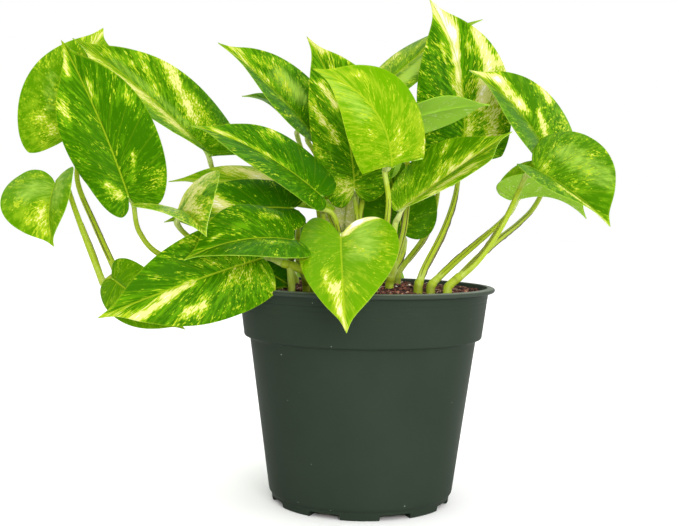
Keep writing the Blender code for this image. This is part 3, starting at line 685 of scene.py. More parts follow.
LEAVES = (
    Leaf("far_left_back", (-185, 10, 231), (-173, 28, 299.5), -5, 79, 4, -4, (12, 12),
         lobe=(0.4, 0.8), slide=(-0.2, 0)),
    Leaf("far_left_front", (-142, -36, 189), (-186, -26, 283.5), 0, 56, 4, 3,
         lobe=(1.6, 1), lean=-0.1, slide=(0.16, 0)),
    Leaf("left_arch", (-98, 4, 216), (-187, 4, 289), 46, 66, 5, 0, (34, 22), -20, 28, (0.2, 0.1),
         slide=(0.25, -0.15)),
    Leaf("left_heart", (-189, -26, 196), (-185, -44, 158.5), 32, 60, 4, 0, (26, 38),
         lobe=(0.8, 1.4), lean=-0.1, slide=(0, -0.2)),
    Leaf("left_low", (-152, -30, 138.5), (-103, -60, 112), 0, 35, 3, 0, (15, 15)),
    Leaf("front_left", (-59, -60, 154.5), (-149.5, -82, 120), 5, 54, 3, 1, (15, 15),
         lobe=(0.3, 1), slide=(0, -0.15)),
    Leaf("front_left_upper", (-41, -61, 165), (-99.5, -91, 154), 50, 52, 7, 0, (25, 25),
         lobe=(0.1, 0.2)),
    Leaf("left_shelf", (-44, -34, 183.5), (-120.5, -36, 174), 35, 42, 6, 0, (15, 15)),
    Leaf("left_small", (-109, -54, 180.5), (-84, -112, 168), -60, 60, 4, 0, (62, 26), lobe=(0.5, 1)),
    Leaf("mid_pale", (-28, -4, 190.5), (-122.5, -10, 199), 57, 40, 6, 0, (14, 14)),
    Leaf("mid_left", (-26, -38, 191), (-104, -42, 231.5), 54, 46.5, 7, 0, (23, 23),
         lobe=(0.5, 0.5), lean=0.03),
    Leaf("up_left", (-36.5, 22, 234), (-96, 16, 289), 49, 54, 4, 0, (38, 28)),
    Leaf("up_left_back", (-44, 42, 238.5), (-84, 50, 258.5), 65, 26, 6, 0),
    Leaf("up_middle", (-6.5, -8, 195.5), (-38.5, 4, 292), 0, 52, 4, 7, (15, 15),
         lean=-0.12, slide=(0, 0.08)),
    Leaf("bright", (15.5, -50, 208), (-31, -74, 262), 15, 49, 8, 11, (5, 5), -20,
         lobe=(-0.45, -0.45), lean=-0.07),
    Leaf("up_right_pale", (7, 40, 260), (78, 64, 314), -58, 44, 6, 0, (12, 5)),
    Leaf("tall", (62.5, 22, 219), (39.5, 28, 321), 0, 61.5, 5, 9, (14, 14),
         lobe=(0.6, 0.2), slide=(0, 0.03)),
    Leaf("right_upper", (115, 16, 222), (63.5, -5, 271), 54, 61, 6, 0, (20, 37),
         lobe=(0.2, 0.6), slide=(0, -0.28)),
    Leaf("mid_right", (20, -26, 182.5), (88.5, -24, 232), -50, 46, 1, 0, (33, 33),
         lobe=(0.6, 0.6), slide=(0.15, 0.5)),
    Leaf("far_right", (101.5, -31, 209), (140.5, -63, 176), -50, 64, 3, 0, (40, 30),
         lobe=(1.3, 0), lean=0.22, slide=(-0.15, 0)),
    Leaf("right_curled", (95, 7, 191.5), (138.5, -4, 180), -70, 48, 8, 0, (64, 64), lobe=(1.6, 1.3)),
    Leaf("front_heart", (-13.5, -64.5, 168), (-8.5, -120.5, 118.5), 4, 58, 4, 0, (16, 8),
         lean=0.14, slide=(-0.1, -0.36)),
    Leaf("low_right", (24.5, 6, 169), (12.5, 30, 222.5), 0, 50, 4, 0, (10, 10)),
    Leaf("mid_behind", (5.5, 4, 208), (14.5, 16, 248), 180, 32, 4, 0, (10, 10)),
    Leaf("mid_underside", (18, -26, 235.5), (74.5, -28, 247.5), -111, 46, 3, 0, (6, 6)),
    Leaf("cream", (-13, 20, 174.5), (-8, 44, 222.5), 0, 34, 4, 0, (15, 15)),
    Leaf("rim_small", (-61, -36, 146), (-41, -46, 135.5), -30, 20, 2, 0),
    Leaf("back_tall", (50, 56, 208), (46, 66, 284), 180, 36),
    Leaf("back_left", (-48, 50, 160), (-100, 88, 182), 70, 46, 8),
    Leaf("back_low_left", (-48, 92, 142), (-56, 104, 62), 180, 46),
    Leaf("back_low_right", (8, 96, 140), (16, 108, 68), 180, 44),
    Leaf("back_middle", (0, 60, 178), (-8, 122, 176), 180, 50, 8),
)


# %% Rooted cuttings


class Stem(NamedTuple):
    """One rooted cutting: the vine's points from where it leaves the soil, and its petioles.

    A petiole is the name of its leaf, the vine point that it starts at, and points on its way.
    A leg is a vine point, and the place in the soil that the vine roots in again from there.
    """

    name: str  # its CAD node has this name after cutting_
    vine: tuple
    petioles: tuple
    legs: tuple = ()


STEMS = (
    Stem("trailing", (
        (-50, 6, 138), (-65, 4, 144), (-102, -8, 140.5), (-133, -12, 137), (-152, -18, 140), (-161, -18, 134),
    ), (
        ("far_left_back", (-152, -18, 140), ((-169.5, -6, 171), (-184, 6, 199.5))),
        ("left_heart", (-161, -18, 134.5), ((-172, -18, 162), (-181, -15, 184), (-187, -11, 199))),
        ("left_low", (-152, -18, 140), ()),
    )),
    Stem("left", ((-52, -22, 138), (-56, -23, 142), (-62, -25, 145)), (
        ("far_left_front", (-61, -25, 144.5), ((-92, -29, 146), (-123, -31, 154), (-136, -33, 168))),
        ("left_small", (-61, -25, 144.5), ((-85, -34, 151), (-105, -42, 166))),
        ("rim_small", (-57, -23.5, 142.5), ()),
    )),
    Stem("left_back", ((-44, 10, 138), (-47, 9.5, 142), (-50, 9, 146)), (
        ("left_arch", (-49, 9, 145), ((-70, 6, 165), (-85.5, 4, 185), (-94, 3, 203))),
        ("left_shelf", (-49, 9, 145), ((-42, -12, 162),)),
    )),
    Stem("front_left", ((-29, -50, 138), (-31, -52, 145), (-40, -55, 149.5), (-48, -57, 152)), (
        ("front_left", (-47, -56.8, 151.7), ()),
    ), (
        ((-43, -55.8, 150.5), (-42, -54)),
    )),
    Stem("front", ((-34, -38, 138), (-34.5, -42, 143)), (
        ("front_left_upper", (-34.5, -41.5, 142), ((-37.5, -46.5, 150),)),
    )),
    Stem("middle_left", ((-14, -10, 138), (-16, -12, 142)), (
        ("mid_pale", (-15, -11, 140), ((-24, -14, 165), (-26, -8, 180))),
        ("mid_left", (-15, -11, 140), ((-15, -26, 165), (-19, -33, 180))),
    )),
    Stem("front_middle", ((6, -42, 138), (7, -43, 142)), (
        ("bright", (7, -43, 141), ((10, -44, 152), (14, -46, 186))),
        ("front_heart", (7, -43, 141), ((-6, -50, 156),)),
    )),
    Stem("middle", ((-4, -8, 138), (-4, -8, 144)), (
        ("up_middle", (-4, -8, 143), ((-4, -7, 170),)),
        ("mid_behind", (-4, -8, 143), ((-3, -4, 176), (0, 0, 195))),
        ("up_left", (-4, -8, 143), ((-16, 4, 166), (-26, 12, 190), (-31, 20, 215))),
    )),
    Stem("middle_right", ((16, -16, 138), (17, -18, 144)), (
        ("mid_right", (17, -18, 143), ((18, -25, 163),)),
        ("low_right", (17, -18, 143), ((24, -4, 155),)),
        ("cream", (17, -18, 143), ((0, 0, 158),)),
        ("mid_underside", (17, -18, 143), ((25, -12, 175), (26, -11, 212))),
    )),
    Stem("tall", ((32.5, -40, 138), (33.5, -39, 142)), (
        ("tall", (33.5, -39, 141), ((37, -34, 150), (49, -16, 172), (57.5, 6, 194))),
    )),
    Stem("right", ((40, -39, 138), (42, -37.5, 141)), (
        ("right_curled", (41.5, -38, 140.5), ((56, -26, 153), (71.5, -14, 165.5), (86, 2, 177))),
    )),
    Stem("far_right", ((50, -41, 138), (53, -40, 141), (58, -38, 145)), (
        ("far_right", (57, -38.5, 144), ((67, -37, 153), (76.5, -35, 165.5), (86, -32, 182))),
        ("right_upper", (57, -38.5, 144), (
            (68, -28, 154.5), (84, -8, 166.5), (98, 10, 176), (110, 23, 187), (117, 29, 202),
        )),
    )),
    Stem("back_right", ((22, 34, 138), (23, 35, 142)), (
        ("up_right_pale", (22, 34, 141), ((20, 44, 190), (12, 42, 235))),
        ("back_tall", (22, 34, 141), ((44, 50, 172),)),
        ("back_low_right", (22, 34, 141), ((21, 56, 150), (14, 78, 148))),
    )),
    Stem("back_left", ((-24, 36, 138), (-25, 36, 142)), (
        ("up_left_back", (-25, 36, 141), ((-32, 38, 190),)),
        ("back_left", (-25, 36, 141), ((-38, 42, 152),)),
        ("back_low_left", (-25, 36, 141), ((-33, 60, 158), (-42, 80, 156))),
        ("back_middle", (-25, 36, 141), ((-14, 46, 160),)),
    )),
)

BY_NAME = {leaf.name: leaf for leaf in LEAVES}
print(f"{len(LEAVES)} leaves on {len(STEMS)} cuttings")

# %% [markdown]
# ## The surface of a blade
#
# A pothos blade is heart-shaped, with a sunken midrib that arches from base to tip, and two halves that rise
# from it and bend back down. It could be sculpted, but a formula keeps 32 leaves alike: a point is found from
# its share of the length and its share of the half width. The outline is one smooth curve through a few
# points, and lateral veins run from the midrib out to it, so rows of points follow the veins.

# %% Outline
BLADE_THICKNESS = 0.8
KEEL_DEPTH = 0.9
VEIN_REACH = 3.4  # how strongly the veins lean towards the tip
HALF_OUTLINE = (
    (0.0, 0.0),
    (-0.06, 0.12),
    (-0.10, 0.36),
    (-0.07, 0.66),
    (0.05, 0.90),
    (0.22, 1.0),
    (0.42, 0.97),
    (0.60, 0.79),
    (0.76, 0.47),
    (0.89, 0.14),
    (1.0, 0.0),
)
ROWS = 76
COLUMNS = 15  # on each side of the midrib
CROWDING = 1.35  # over 1, the columns lie closer together by the midrib
FRONT = np.array([0.0, -1.0, 0.0])


def smooth_path(points, per_span):
    """Points along a Catmull-Rom curve through the given ones."""
    p = np.asarray(points, float)
    p = np.vstack([2 * p[0] - p[1], p, 2 * p[-1] - p[-2]])
    t = np.arange(per_span)[:, None] / per_span
    spans = [
        0.5 * (2 * b + (c - a) * t + (2 * a - 5 * b + 4 * c - d) * t**2 + (3 * b - a - 3 * c + d) * t**3)
        for a, b, c, d in zip(p, p[1:], p[2:], p[3:])
    ]
    return np.vstack([*spans, p[-2]])


OUTLINE = smooth_path(HALF_OUTLINE, 20)
VEIN_AT = np.linspace(0, 1, len(OUTLINE))

# %% Middle surface


class BladeFrame:
    """The straight line from a blade's base to its tip, and the directions up and right of it."""

    def __init__(self, leaf):
        self.leaf = leaf
        self.base = np.array(leaf.base, float)
        self.chord = np.array(leaf.tip, float) - self.base
        ahead = unit(self.chord)
        squarely = unit(FRONT - ahead * (FRONT @ ahead))
        turn = math.radians(leaf.turn)
        self.up = squarely * math.cos(turn) + np.cross(ahead, squarely) * math.sin(turn)
        self.right = np.cross(ahead, self.up)
        self.ahead_at_base = self.midrib(np.array([0.0]))[1][0]
        self.up_at_base = unit(np.cross(self.right, self.ahead_at_base))

    def midrib(self, along):
        """Points and directions on the midrib at these shares of its length."""
        s = np.asarray(along, float)[:, None]
        inside = np.clip(s, 0, 1)
        arch = 4 * inside * (1 - inside) + 4 * (s - inside)
        slope = 4 * (1 - 2 * inside)
        off = self.up * self.leaf.bow + self.right * self.leaf.sweep
        points = self.base + self.chord * s + off * arch
        return points, unit(self.chord + off * slope)

    def point(self, along, across):
        """Points of the blade's middle surface; across runs from -1 at the left to 1 at the right."""
        leaf = self.leaf
        along, across = np.asarray(along, float), np.asarray(across, float)
        points, ahead = self.midrib(along)
        right = unit(np.cross(ahead, self.up))
        up = np.cross(right, ahead)
        turn = np.radians(leaf.twist) * (along - 0.5)[:, None]
        right, up = right * np.cos(turn) + up * np.sin(turn), up * np.cos(turn) - right * np.sin(turn)
        fold = np.radians(np.where(across >= 0, leaf.fold[1], leaf.fold[0]))
        curl = math.radians(leaf.curl) + 1e-6
        q = np.abs(across)
        half = leaf.width / 2 * (1 - leaf.lean * np.sign(across))
        out = half / curl * (np.sin(fold + curl * q) - np.sin(fold))
        rise = -half / curl * (np.cos(fold + curl * q) - np.cos(fold))
        return points + right * (np.sign(across) * out)[:, None] + up * rise[:, None]


# %% Rows of points along the veins


def blade_grid(leaf):
    """Places on the blade, row by row from base to tip and left to right.

    Gives along and across as shares, the vein that each place lies on, from 0 to 1, and its share of the
    way from the midrib to the margin.
    """
    vein = np.linspace(0, 1, ROWS + 1)
    u, v = np.interp(vein, VEIN_AT, OUTLINE[:, 0]), np.interp(vein, VEIN_AT, OUTLINE[:, 1])
    v = np.maximum(v, 0)
    root = vein**VEIN_REACH
    share = (np.abs(np.arange(-COLUMNS, COLUMNS + 1)) / COLUMNS) ** CROWDING
    along, across = [], []
    for j in range(-COLUMNS, COLUMNS + 1):
        side = int(j > 0)
        end = u * np.where(u < 0, leaf.lobe[side], 1) + v * (1 - u) * leaf.slide[side]
        part = share[j + COLUMNS]
        along.append(root + (end - root) * part)
        across.append(np.copysign(v * part, j))
    along, across = np.array(along).T, np.array(across).T
    return along, across, np.repeat(vein[:, None], len(share), 1), np.repeat(share[None], len(vein), 0)


def grid_faces(rows, columns):
    """Numbers the grid's places with both end rows drawn together, and gives its faces and its edge."""
    base, tip = 0, (rows - 2) * columns + 1

    def number(i, j):
        return base if i == 0 else tip if i == rows - 1 else 1 + (i - 1) * columns + j

    faces = []
    for i in range(rows - 1):
        for j in range(columns - 1):
            corners = dict.fromkeys((number(i, j), number(i, j + 1), number(i + 1, j + 1), number(i + 1, j)))
            faces.append(list(corners))
    inner = range(1, rows - 1)
    edge = [base, *(number(i, columns - 1) for i in inner), tip, *(number(i, 0) for i in reversed(inner))]
    return faces, edge


def joined_ends(grid):
    """A grid of values as one list, its first and last rows each taken once, from the middle."""
    middle = grid.shape[1] // 2
    return np.concatenate([grid[:1, middle], grid[1:-1].reshape(-1, *grid.shape[2:]), grid[-1:, middle]])


def grid_normals(points, faces):
    total = np.zeros_like(points)
    triangles = np.array([t for f in faces for t in ((f[0], f[1], f[2]), (f[0], f[2], f[-1]))[: len(f) - 2]])
    corners = points[triangles]
    normals = np.cross(corners[:, 1] - corners[:, 0], corners[:, 2] - corners[:, 0])
    for corner in range(3):
        np.add.at(total, triangles[:, corner], normals)
    return unit(total)


# %% [markdown]
# ## Pothos leaf
#
# A living leaf is waxy: a thin clear cuticle over green tissue, so its gloss is broad and soft, and light
# that enters it comes out again a little way off. In this plant some tissue has no chlorophyll. Such cells
# divide in files along the veins, so the marbling is a scatter of streaks and flecks from dark green through
# yellow-green to cream, dense where a whole sector is pale. The shader sets long, narrow noise along the
# veins against a bias that each leaf's own painted strokes give.
# Some olive strokes are partly olive tissue and partly a painted sheen where a leaf catches the light.

# %% Leaf material
DARK_GREEN = "#0a4800"
MID_GREEN = "#3c7a00"
LIME = "#6c9e00"
YELLOW_GREEN = "#92a61a"
CREAM = "#c4c274"
WHITE = "#e0dac4"
OLIVE_AND_SHEEN = "#8aaa3c"  # thin cream over green, and a painted sheen where a leaf catches the light
UNDERSIDE = "#8cb736"
UNDERSIDE_PALE = "#c4cf8a"
SHEEN = "#d8ec90"
VEIN_SPACING = 7.0  # mm between lateral veins
SKIN_GRAIN = 0.7  # mm, far coarser than the skin's cells, which wouldn't show
SKIN_RELIEF = 0.3  # mm
LEAF_ROUGHNESS = (0.34, 0.44)
UNDERSIDE_ROUGHNESS = 0.6


def leaf_material():
    made, tree, shader = new_material(
        "waxy_pothos_leaf", IOR=1.45, Subsurface_Weight=0.1, Subsurface_Scale=2 * MM,
        Subsurface_Radius=(0.6, 1.0, 0.15), Specular_IOR_Level=0.05, Specular_Tint=SHEEN,
    )
    streak, cream, tone, olive, under, rib, rim = (
        add_node(tree, "ShaderNodeAttribute", {}, attribute_name=name)
        for name in ("streak", "cream", "tone", "olive", "under", "rib", "rim")
    )

    def streaks(wide, long, detail, away):
        """Noise in streaks this many mm wide and long, stretched along the veins."""
        stretched = add_node(tree, "ShaderNodeMapping", {
            "Vector": streak.outputs["Vector"], "Location": (away, away, away),
            "Scale": (1 / wide, 1 / long, 1),
        })
        return add_node(tree, "ShaderNodeTexNoise", {
            "Vector": stretched.outputs[0], "Scale": 1.0, "Detail": detail, "Roughness": 0.62,
        }).outputs[0]

    flecks = cream.outputs["Fac"]
    for wide, long, detail, away, weight in (
        (0.75, 2.2, 2.0, 0.0, 0.9),
        (0.5, 4.0, 1.0, 20.0, 0.5),
        (5.0, 16.0, 2.0, 40.0, 0.8),
    ):
        flecks = add_node(tree, "ShaderNodeMath", {
            0: streaks(wide, long, detail, away), 1: weight, 2: flecks,
        }, operation="MULTIPLY_ADD").outputs[0]
    hue = streaks(1.6, 8.0, 4.0, 80.0)
    mottled, olive_and_sheen_share = (
        add_node(tree, "ShaderNodeMath", {
            0: hue, 1: weight, 2: bias.outputs["Fac"],
        }, operation="MULTIPLY_ADD").outputs[0]
        for bias, weight in ((cream, 1.0), (olive, 0.6))
    )
    across = add_node(tree, "ShaderNodeSeparateXYZ", {0: streak.outputs["Vector"]}).outputs["X"]
    from_vein = add_node(tree, "ShaderNodeMath", {0: across, 1: VEIN_SPACING / 2}, operation="PINGPONG")
    colour, lighter = (
        add_node(tree, "ShaderNodeMix", {
            "Factor": tone.outputs["Fac"], "A": dull, "B": lively,
        }, data_type="RGBA").outputs["Result"]
        for dull, lively in ((DARK_GREEN, LIME), (MID_GREEN, YELLOW_GREEN))
    )
    # The olive layer is partly olive tissue and partly a painted sheen.
    for new, value, low, high, most in (
        (lighter, mottled, 0.46, 0.70, 1.0),
        (lighter, flecks, 1.16, 1.28, 0.7),
        (OLIVE_AND_SHEEN, olive_and_sheen_share, 0.42, 0.95, 1.0),
        (YELLOW_GREEN, flecks, 1.27, 1.31, 1.0),
        (CREAM, flecks, 1.41, 1.50, 1.0),
        (WHITE, flecks, 1.72, 1.90, 1.0),
        (YELLOW_GREEN, from_vein.outputs[0], 0.5, 0.1, 0.1),
        (YELLOW_GREEN, rib.outputs["Fac"], 0.8, 0.3, 0.6),
        (YELLOW_GREEN, rim.outputs["Fac"], 0.45, 0.15, 0.25),
    ):
        colour = layer(tree, colour, new, value, low, high, most)
    below = layer(tree, UNDERSIDE, UNDERSIDE_PALE, flecks, 1.20, 1.40)
    colour = add_node(tree, "ShaderNodeMix", {
        "Factor": under.outputs["Fac"], "A": colour, "B": below,
    }, data_type="RGBA").outputs["Result"]
    cells = add_node(tree, "ShaderNodeTexNoise", {
        "Vector": streak.outputs["Vector"], "Scale": 1 / SKIN_GRAIN, "Detail": 3.0,
    })
    relief = add_node(tree, "ShaderNodeBump", {
        "Height": cells.outputs[0], "Strength": 0.12, "Distance": SKIN_RELIEF * MM,
    })
    waxy = add_node(tree, "ShaderNodeMapRange", {
        "Value": cells.outputs[0], **NOISE_RANGE, "To Min": LEAF_ROUGHNESS[0], "To Max": LEAF_ROUGHNESS[1],
    })
    rough = add_node(tree, "ShaderNodeMix", {
        "Factor": under.outputs["Fac"], "A": waxy.outputs[0], "B": UNDERSIDE_ROUGHNESS,
    })
    fill(tree, shader, {"Base Color": colour, "Roughness": rough.outputs[0], "Normal": relief.outputs[0]})
    return made


leaf_flesh = leaf_material()

# %% Painted strokes


class Look(NamedTuple):
    """A leaf's colour: how lime its green is, how freely it flecks, and strokes of cream and of olive.

    A stroke runs from one place to another, as (along, across) shares, with its half width in mm and how
    strongly it colours the tissue. Cream strokes turn it pale. Olive strokes turn it olive, and also paint a
    pale sheen where the leaf catches the light. A stroke of cream below 0 keeps the tissue green.
    """

    tone: float = 0.2
    flecks: float = 0.0
    strokes: tuple = ()
    olive: tuple = ()


LOOKS = {
    "far_left_back": Look(0.42, 0.02, (
        ((0.25, -0.75), (0, -0.7), 2.5, 0.15), ((0.12, -0.6), (0, -0.35), 4, 0.2),
        ((-0.05, -0.7), (-0.15, -0.45), 3, 0.12), ((1, 0), (0.8, 0), 4, 0.3),
    ), (((0.45, -0.5), (0.2, -0.45), 6, 0.3),)),
    "far_left_front": Look(0.16, 0, (
        ((0.93, -0.1), (0.78, -0.25), 2.6, 0.5), ((0.68, -0.6), (0.52, -0.7), 4, 0.17),
        ((0.7, 0.1), (0.58, 0.1), 2, 0.2), ((0.55, 0.7), (0.48, 0.75), 3, 0.22),
        ((0.1, -0.4), (0.03, -0.2), 3.2, 0.3), ((0.2, 0.4), (0.08, 0.22), 1.6, 0.22),
        ((0.06, 0.8), (-0.05, 0.75), 4, 0.14), ((0.3, -0.75), (0.25, -0.6), 2.5, 0.12),
        ((0.4, 0.5), (0.2, 0.75), 7, -0.08), ((0.35, -0.6), (0.2, -0.45), 8, -0.06),
    )),
    "left_arch": Look(0.2, 0.02, (
        ((0.58, 0.85), (0.2, 0.3), 4, 0.42), ((0.68, 0.6), (0.45, 0.15), 3, 0.2),
        ((0.3, 0.7), (0.12, 0.45), 3, 0.15), ((0.85, -0.3), (0.2, -0.4), 8, 0.36),
        ((0.45, 0.95), (0.4, 0.95), 2.5, 0.2), ((0.8, 0.15), (0.65, 0.3), 2.5, 0.2),
    ), (((0.75, 0.1), (0.2, 0.1), 4, 0.35),)),
    "left_heart": Look(0.45, -0.02, (
        ((0.35, 0.15), (0.8, 0.1), 4, 0.24), ((0.4, 0.55), (0.6, 0.35), 4, 0.2),
        ((-0.1, 0.4), (0, 0.8), 3, 0.08),
    ), (((0.1, -0.3), (0.3, -0.4), 14, 0.4), ((0.1, 0.4), (0.2, 0.5), 8, 0.4))),
    "left_low": Look(0.36, -0.02, (((0.15, 0.6), (0.3, 0.5), 4, 0.1),)),
    "front_left": Look(0.15, 0.03, (
        ((0.42, -0.02), (0.6, -0.13), 2.4, 0.36), ((0.6, -0.13), (0.8, -0.3), 3.5, 0.34),
        ((0.42, -0.57), (0.52, -0.6), 3, 0.38), ((0.4, -0.42), (0.37, -0.4), 2, 0.2),
        ((0.13, -0.15), (0.02, -0.65), 8, 0.1), ((0.2, -0.25), (0.27, -0.4), 2.5, 0.14),
        ((0.95, -0.05), (0.8, -0.3), 4, 0.2), ((0.26, 0.55), (0.32, 0.5), 1.2, 0.2),
        ((0.2, 0.2), (0.35, 0.3), 2.5, 0.1), ((0.35, 0.9), (0.5, 0.85), 4, 0.12),
        ((0.7, 0.3), (0.42, 0.35), 7, -0.08),
    )),
    "front_left_upper": Look(0.15, 0, (
        ((0.22, 0.6), (0.1, 0.6), 2.4, 0.22), ((0.3, -0.4), (0.2, -0.35), 2.4, 0.25),
        ((0.78, 0.8), (0.7, 0.9), 3, 0.12), ((0.75, 0.15), (0.65, 0.25), 1.2, 0.2),
        ((0.5, 0.3), (0.4, 0.35), 3, 0.08), ((0.1, 0.3), (0, -0.2), 5, -0.07),
    )),
    "left_shelf": Look(0.12, 0, (
        ((0.62, 0.4), (0.42, -0.3), 5, 0.6), ((0.65, -0.3), (0.5, -0.6), 4, 0.14),
        ((0.27, -0.05), (0.24, -0.1), 1.4, 0.25), ((0.4, 0.5), (0.05, 0.1), 9, -0.08),
    )),
    "left_small": Look(0.2, 0.14, (
        ((0, -0.6), (0.25, -1), 6, 0.24), ((0, -0.2), (0.4, -0.6), 5, 0.24),
        ((0.25, -0.1), (0.75, -0.25), 4, 0.26), ((0.3, 0.3), (0.2, 0.9), 4, 0.15),
        ((0.5, -0.5), (0.8, -0.6), 1.6, -0.2),
    )),
    "mid_pale": Look(0.55, 0.1, (
        ((0.62, 0.6), (0.42, 0.3), 6, 0.24), ((0.42, 0.1), (0.2, 0), 7, 0.42),
        ((0.2, -0.1), (0.02, 0), 7, 0.2), ((0.8, 0.2), (0.68, 0.3), 3, -0.15),
        ((0.7, 0), (0.5, 0.1), 1.5, -0.15),
    )),
    "mid_left": Look(0.12, 0, (
        ((0.5, 0.85), (0.44, 0.75), 2.4, 0.28), ((0.62, 0.85), (0.55, 0.9), 2, 0.18),
        ((0.55, 0.6), (0.5, 0.7), 2.5, 0.14), ((0.85, 0.05), (0.3, 0.03), 1.6, 0.18),
        ((0.95, 0.05), (0.75, 0.1), 3, 0.15), ((0.25, 0.7), (0.05, 0.5), 8, -0.14),
    )),
    "up_left": Look(0.15, 0.03, (
        ((0.92, 0.1), (0.6, 0.35), 2.4, 0.22), ((0.8, 0.05), (0.45, 0.05), 2.2, 0.25),
        ((0.6, 0.6), (0.5, 0.8), 3, 0.18), ((0.35, 0.85), (0.2, 0.9), 2.5, 0.14),
        ((0.15, 0.4), (0.02, 0.2), 6, -0.08), ((0.9, -0.1), (0.6, -0.2), 2.5, 0.2),
        ((0.55, -0.35), (0.25, -0.3), 2, 0.15),
        ((0.55, 0.5), (0.3, 0.25), 3, 0.1),
    ), (((0.5, 0.4), (0.25, 0.4), 7, 0.5),)),
    "up_middle": Look(0.15, 0.04, (
        ((0.97, 0.02), (0.86, 0.15), 2.5, 0.4), ((0.86, 0.35), (0.8, 0.45), 1.6, 0.28),
        ((0.78, 0.45), (0.74, 0.7), 3, 0.22), ((0.68, -0.85), (0.45, -0.6), 3, 0.36),
        ((0.45, -0.6), (0.38, -0.4), 2.4, 0.25), ((0.68, -0.3), (0.52, -0.12), 3, 0.36),
        ((0.36, -0.38), (0.3, -0.3), 2.5, 0.3), ((0.28, -0.95), (0.22, -0.8), 2.5, 0.25),
        ((0.06, -0.65), (0, -0.1), 6, 0.24), ((0.3, -0.2), (0.12, -0.4), 6, -0.08),
    )),
    "bright": Look(0.62, 0.05, (
        ((0.76, 0.25), (0.69, 0.35), 1.7, 0.3), ((0.3, 0.8), (0.08, 0.85), 4, 0.13),
        ((0.35, 0.3), (0.1, 0.2), 3, 0.08), ((0.85, 0.5), (0.4, 0.9), 5, -0.16),
        ((0.45, 0.35), (0.25, 0.1), 3, -0.08),
    ), (((0.95, -0.2), (0.5, -0.3), 8, 0.4), ((0.9, 0.5), (0.7, 0.7), 6, 0.2))),
    "up_right_pale": Look(0.34, 0.04, (
        ((0.1, -0.8), (0.35, -0.8), 4, 0.24), ((0.3, -0.4), (0.8, -0.5), 4, 0.12),
        ((0.25, 0.1), (0.6, 0.1), 2, 0.12),
    ), (((0.1, 0.5), (0.8, 0.5), 6, 0.75),)),
    "tall": Look(0.1, 0.05, (
        ((0.98, 0.02), (0.75, 0.1), 4, 0.7), ((0.75, 0.08), (0.6, 0), 3, 0.6),
        ((0.6, 0), (0.48, -0.03), 2, 0.4), ((0.5, -0.03), (0.36, -0.1), 2.5, 0.32),
        ((0.72, -0.15), (0.65, -0.2), 2, 0.2), ((0.52, -0.2), (0.4, -0.2), 2, 0.2),
        ((0.66, 0.3), (0.6, 0.35), 1.6, 0.28), ((0.7, 0.6), (0.5, 0.62), 3.6, 0.66),
        ((0.55, 0.85), (0.42, 0.95), 3, 0.34), ((0.44, 0.45), (0.3, 0.35), 3.5, 0.52),
        ((0.34, 0.6), (0.15, 0.6), 6, 0.32), ((0.28, 0.15), (0.1, 0.08), 3, 0.28),
        ((0.3, -0.7), (0.1, -0.3), 7, -0.08), ((0.85, 0.8), (0.6, 1), 2.5, -0.25),
    )),
    "right_upper": Look(0.22, 0.04, (
        ((0.98, 0.02), (0.75, 0.2), 2.5, 0.48), ((0.75, 0.2), (0.5, 0.12), 3.5, 0.44),
        ((0.5, 0.12), (0.38, 0.15), 2.5, 0.32), ((0.6, 0.5), (0.35, 0.3), 4, -0.1),
        ((0.4, 0.85), (0.3, 0.85), 3.5, 0.55), ((0.3, 0.35), (0.12, 0.2), 2.5, 0.42),
        ((0.12, 0.95), (0, 0.9), 4, 0.2), ((0.7, -0.3), (0.3, -0.6), 5, -0.08),
    )),
    "mid_right": Look(0.26, 0.05, (
        ((0.02, 0.1), (0.5, 0), 4, 0.26), ((0.5, 0), (0.9, 0.05), 2.5, 0.22),
        ((0.1, 0.6), (0.6, 0.6), 4, 0.3), ((0.45, -0.3), (0.65, -0.1), 3, 0.14),
        ((0.5, -0.6), (0.6, -0.8), 2, 0.16), ((0.05, -0.7), (0.2, -0.5), 3, 0.1),
        ((0.3, -0.6), (0.8, -0.4), 5, -0.07),
    )),
    "far_right": Look(0.26, 0.03, (
        ((0.45, 0.5), (0.75, 0.4), 2.5, 0.36), ((0.75, 0.3), (0.95, 0.05), 2.5, 0.3),
        ((0.05, -0.15), (0.3, 0.2), 3, 0.12), ((0.25, -0.35), (0.45, -0.45), 2, 0.12),
    ), (((0.1, -0.5), (0.6, -0.5), 9, 0.4),)),
    "right_curled": Look(0.8, 0.02),
    "front_heart": Look(0.6, -0.03, (
        ((0, -0.1), (-0.1, -0.3), 3, 0.7), ((-0.1, -0.3), (-0.14, -0.7), 2.6, 0.7),
        ((0.15, 0.95), (0.3, 0.9), 2, 0.22),
        ((0.42, 0.4), (0.62, 0.28), 3, 0.28), ((0.58, 0.14), (0.8, 0.12), 3.4, 0.46),
        ((0.8, 0.1), (0.97, 0.02), 2, 0.42), ((0.15, -0.2), (0.25, -0.35), 3, 0.1),
        ((0.35, -0.45), (0.3, -0.4), 2, 0.16), ((0.5, -0.1), (0.65, -0.15), 3, 0.1),
        ((0.1, -0.7), (0.35, -0.75), 5, 0.08),
    ), (((-0.1, -0.45), (0.3, -0.4), 10, 0.45), ((0, 0.4), (0.1, 0.7), 6, 0.15))),
    "low_right": Look(0.2, -0.04),
    "mid_behind": Look(0.4, 0),
    "mid_underside": Look(0.4, 0),
    "cream": Look(0.8, 0.62, (
        ((0.3, -0.5), (0.9, -0.3), 6, 0.12), ((0.1, 0.4), (0.6, 0.5), 5, -0.12),
    )),
    "rim_small": Look(0.1, -0.1),
}
PLAIN_LOOK = Look()

